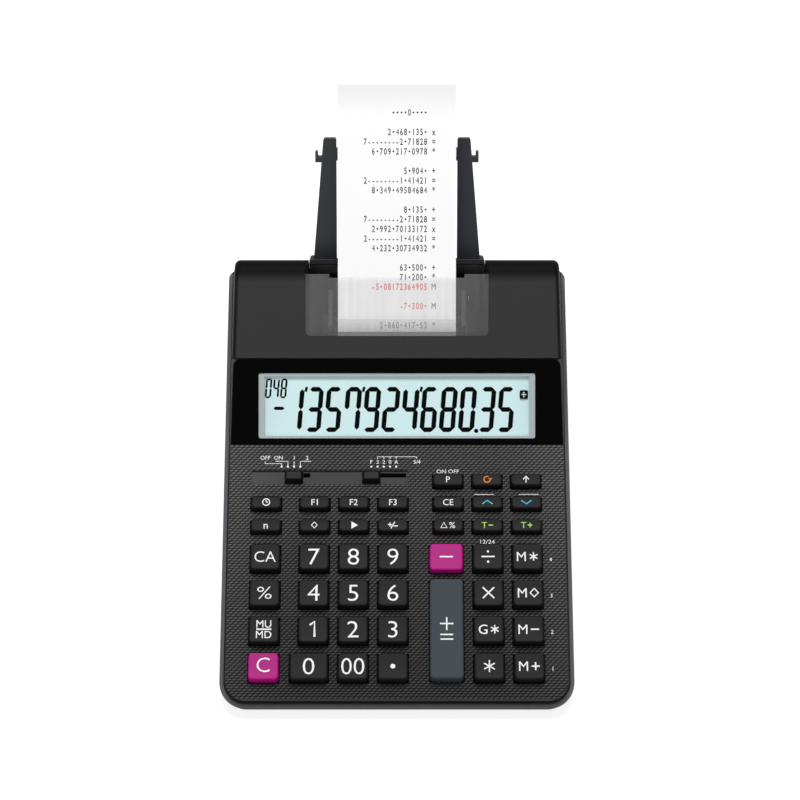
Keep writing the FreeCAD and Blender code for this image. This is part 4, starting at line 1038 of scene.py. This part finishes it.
class CALCULATOR_OT_deck_marks(bpy.types.Operator):
    """Prints the small figures and lines on the deck"""

    bl_idname = "calculator.deck_marks"
    bl_label = "Deck marks"

    def execute(self, context):
        piece = joined("deck_marks", self.mode_marks() + self.decimal_marks() + self.key_marks())
        settle(piece, deck_plane() @ at(0, 0, 0.03 * MM))
        dress(piece, ink("mark_white", colours().legend_white).material)
        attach(piece, "case")
        return {"FINISHED"}

    def caption(self, text, x, y, wide=1.0):
        return moved(lettering(text, sizes().caption, MARK_INK, wide=wide), x, y)

    def spot(self, x, y):
        return dot(x, y, 0.5 * MM, MARK_INK)

    def line(self, x, y, points):
        """A thin line along points given in millimetres from a place on the deck."""
        return stroke([(x + across * MM, y + up * MM) for across, up in points], 0.35 * MM, MARK_INK)

    def row_above(self, slider):
        """The middle of the row of dots above a slide switch."""
        low, high = span(slider, deck_plane())
        return (low.x + high.x) / 2, high.y + 2.15 * MM

    def mode_marks(self):
        """Dots, words and lines above the mode switch."""
        step = SWITCH_STEP
        x, y = self.row_above("mode_slider")
        marks = [self.spot(x + place * step * MM, y) for place in (-2, -1, 0, 1)]
        for text, across in (("OFF", -13.8), ("ON", -7.6), ("1", 0.0), ("2", 6.2)):
            marks.append(self.caption(text, x + across * MM, y + 4.5 * MM))
        lines = (
            [(-13.8, 2.6), (-13.8, 1.5), (-2 * step, 1.5), (-2 * step, 0)],
            [(-8.9, 2.7), (-step, 2.7), (-step, 0)],
            [(0, 2.7), (0, 0)],
            [(step, 0), (step, 2.7), (8.0, 2.7)],
        )
        return marks + [self.line(x, y, points) for points in lines]

    def decimal_marks(self):
        """Dots, figures and lines above the decimal switch."""
        step = SWITCH_STEP
        x, y = self.row_above("decimal_slider")
        marks = []
        for place, text in enumerate(("F", "3", "2", "0", "A")):
            across = place * step * MM
            marks.append(self.spot(x + across, y))
            marks.append(self.caption(text, x + across, y + 2.4 * MM))
        marks.append(self.caption("5/4", x + 21.8 * MM, y + 2.4 * MM))
        marks.append(self.line(x, y, [(step, 4.0), (step, 5.0), (21.6, 5.0), (21.6, 4.0)]))
        for place in (2, 3, 4):
            marks.append(self.line(x, y, [(place * step, 5.0), (place * step, 4.0)]))
        return marks

    def key_marks(self):
        """Figures beside and above some keys, the switch words above one key and lines above two."""
        marks = []
        for number, name in enumerate(("plus", "minus", "subtotal", "total"), start=1):
            low, high = span(f"key_memory_{name}", deck_plane())
            marks.append(self.caption(str(number), high.x + 3.0 * MM, (low.y + high.y) / 2))
        for name, text, wide in (("print_mode", "ON OFF", 1.08), ("divide", "12/24", 1.2)):
            low, high = span(f"key_{name}", deck_plane())
            marks.append(self.caption(text, (low.x + high.x) / 2, high.y + 1.2 * MM, wide))
        for name, first, last in (("check_up", 2.2, 11.4), ("check_down", 5.0, 14.2)):
            low, high = span(f"key_{name}", deck_plane())
            marks.append(self.line(low.x, high.y + 1.0 * MM, [(first, 0), (last, 0)]))
        return marks


class CALCULATOR_OT_underside(bpy.types.Operator):
    """Builds the case screws and the grip of the battery lid"""

    bl_idname = "calculator.underside"
    bl_label = "Underside"

    def execute(self, context):
        screws = joined("case_screws", self.screws())
        dress(screws, brushed_steel("screw_steel", colours().steel_grey).material)
        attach(screws, "case")
        grip = joined("lid_grip", self.ribs())
        dress(grip, NODES["battery_lid"].data.materials[0])
        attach(grip, "battery_cover")
        return {"FINISHED"}

    def screw(self):
        """One round screw head with a cross in it, facing down."""
        head_radius, head_depth, head_edge = 2.9 * MM, 1.6 * MM, 0.5 * MM
        cross_length, cross_width, cross_depth = 3.4 * MM, 0.8 * MM, 1.2 * MM
        head = cylinder(32, head_radius, head_depth)
        bevel(head, head_edge, 3, lambda first, second: max(first.z, second.z) < 0)
        for width, depth in ((cross_length, cross_width), (cross_width, cross_length)):
            cutter = plate(width, depth, cross_depth, 0.2 * MM)
            cutter.data.transform(at(0, 0, -head_depth / 2))
            cut = head.modifiers.new("cross", "BOOLEAN")
            cut.operation = "DIFFERENCE"
            cut.object = cutter
            bpy.context.view_layer.objects.active = head
            bpy.ops.object.modifier_apply(modifier=cut.name)
            bpy.data.objects.remove(cutter)
        return head

    def screws(self):
        """The screws of the tray, two at the front and two at the back."""
        low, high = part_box("lower_case")
        from_side, from_front, from_back = 30 * MM, 24 * MM, 66 * MM
        head = self.screw()
        made = [
            settle(copy_of(head), at(x, y, low.z))
            for x in (low.x + from_side, high.x - from_side)
            for y in (low.y + from_front, high.y - from_back)
        ]
        bpy.data.objects.remove(head)
        return made

    def ribs(self):
        """Ribs on the battery lid for the thumb."""
        low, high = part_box("battery_lid")
        middle = (low.x + high.x) / 2
        return [
            settle(plate(16 * MM, 0.9 * MM, 0.8 * MM, 0.3 * MM), at(middle, low.y + up * MM, low.z))
            for up in range(6, 16, 2)
        ]


WHITE = (1, 1, 1, 1)


def seen_rays(tree):
    """One for the rays that show the background itself, also in gloss and through clear plastic."""
    path = add_node(tree, "LightPath", {}).outputs
    kinds = ("Camera", "Glossy", "Transmission")
    camera, gloss, clear = (Amount(tree, path[f"Is {kind} Ray"]) for kind in kinds)
    return camera.sum("MAXIMUM", gloss).sum("MAXIMUM", clear)


def aimed(name, data, place, aim):
    """A lamp or a camera at a place, turned towards a point."""
    holder = bpy.data.objects.new(name, data)
    bpy.context.scene.collection.objects.link(holder)
    holder.location = place
    holder.rotation_euler = (Vector(aim) - holder.location).to_track_quat("-Z", "Y").to_euler()
    return holder


class CALCULATOR_OT_stage(bpy.types.Operator):
    """Sets the floor, the light and the camera"""

    bl_idname = "calculator.stage"
    bl_label = "Stage"

    def execute(self, context):
        self.floor()
        self.background()
        self.lamps()
        self.camera()
        return {"FINISHED"}

    def floor(self):
        deselect()
        bpy.ops.mesh.primitive_plane_add(size=8.0)
        floor = bpy.context.object
        floor.name = "floor"
        mode("EDIT")
        bpy.ops.mesh.subdivide(number_cuts=4)
        mode("OBJECT")
        finish = plastic("floor_white", colours().floor_white, gloss=0.9, grain=4.0, depth=0.0, shade=0.01)
        finish.shader["Emission Color"].default_value = WHITE
        seen_strength = 0.78
        finish.link((seen_rays(finish.tree) * seen_strength).socket, "Emission Strength")
        dress(floor, finish.material)

    def background(self):
        """A white background that is seen brighter than it lights."""
        scene = bpy.context.scene
        scene.world = scene.world or bpy.data.worlds.new("studio")
        scene.world.use_nodes = True
        tree = scene.world.node_tree
        tree.nodes.clear()
        lit, seen = (
            add_node(tree, "Background", {"Color": WHITE, "Strength": strength}).outputs[0]
            for strength in (0.3, 1.0)
        )
        mix = add_node(tree, "MixShader", {"Fac": seen_rays(tree), 1: lit, 2: seen})
        add_node(tree, "OutputWorld", {"Surface": mix.outputs[0]})

    def lamps(self):
        for name, place, size, power in (
            ("top_light", (0, 0.52, 1.53), 0.7, 21.0),
            ("front_light", (-0.4, -1.3, 1.2), 0.9, 5.1),
        ):
            lamp = bpy.data.lights.new(name, "AREA")
            lamp.energy = power
            lamp.size = size
            aimed(name, lamp, place, (0, 0, 0))

    def camera(self):
        """The photograph's view, fitted to the case."""
        scene = bpy.context.scene
        data = bpy.data.cameras.new("photo_camera")
        data.sensor_width = 36.0
        data.lens = 122.45
        data.shift_x = 0.00387
        data.shift_y = 0.0128
        aim = Vector((0, 0.0022, 0.0385))
        rise = math.radians(61.5)
        distance = 1.3
        place = aim + distance * Vector((0, -math.cos(rise), math.sin(rise)))
        scene.camera = aimed("photo_camera", data, place, aim)
        scene.view_settings.view_transform = "Standard"


class CALCULATOR_PT_panel(bpy.types.Panel):
    """Lists the steps that dress the calculator"""

    bl_idname = "CALCULATOR_PT_panel"
    bl_label = "Printing calculator"
    bl_space_type = "VIEW_3D"
    bl_region_type = "UI"
    bl_category = "Calculator"

    def draw(self, context):
        for step in STEPS:
            self.layout.operator(step.bl_idname)
        for group in (sizes(), colours()):
            for name in group.bl_rna.properties.keys()[2:]:
                self.layout.prop(group, name)


STEPS = (
    CALCULATOR_OT_case, CALCULATOR_OT_keys, CALCULATOR_OT_legends, CALCULATOR_OT_display, CALCULATOR_OT_printer,
    CALCULATOR_OT_deck_marks, CALCULATOR_OT_underside, CALCULATOR_OT_stage,
)
CLASSES = (CalculatorSizes, CalculatorColours, *STEPS, CALCULATOR_PT_panel)


def register():
    for item in CLASSES:
        bpy.utils.register_class(item)
    bpy.types.Scene.calculator_sizes = PointerProperty(type=CalculatorSizes)
    bpy.types.Scene.calculator_colours = PointerProperty(type=CalculatorColours)


def unregister():
    del bpy.types.Scene.calculator_colours
    del bpy.types.Scene.calculator_sizes
    for item in reversed(CLASSES):
        bpy.utils.unregister_class(item)


def main():
    register()
    for step in STEPS:
        space, name = step.bl_idname.split(".")
        getattr(getattr(bpy.ops, space), name)()


if __name__ == "__main__":
    main()
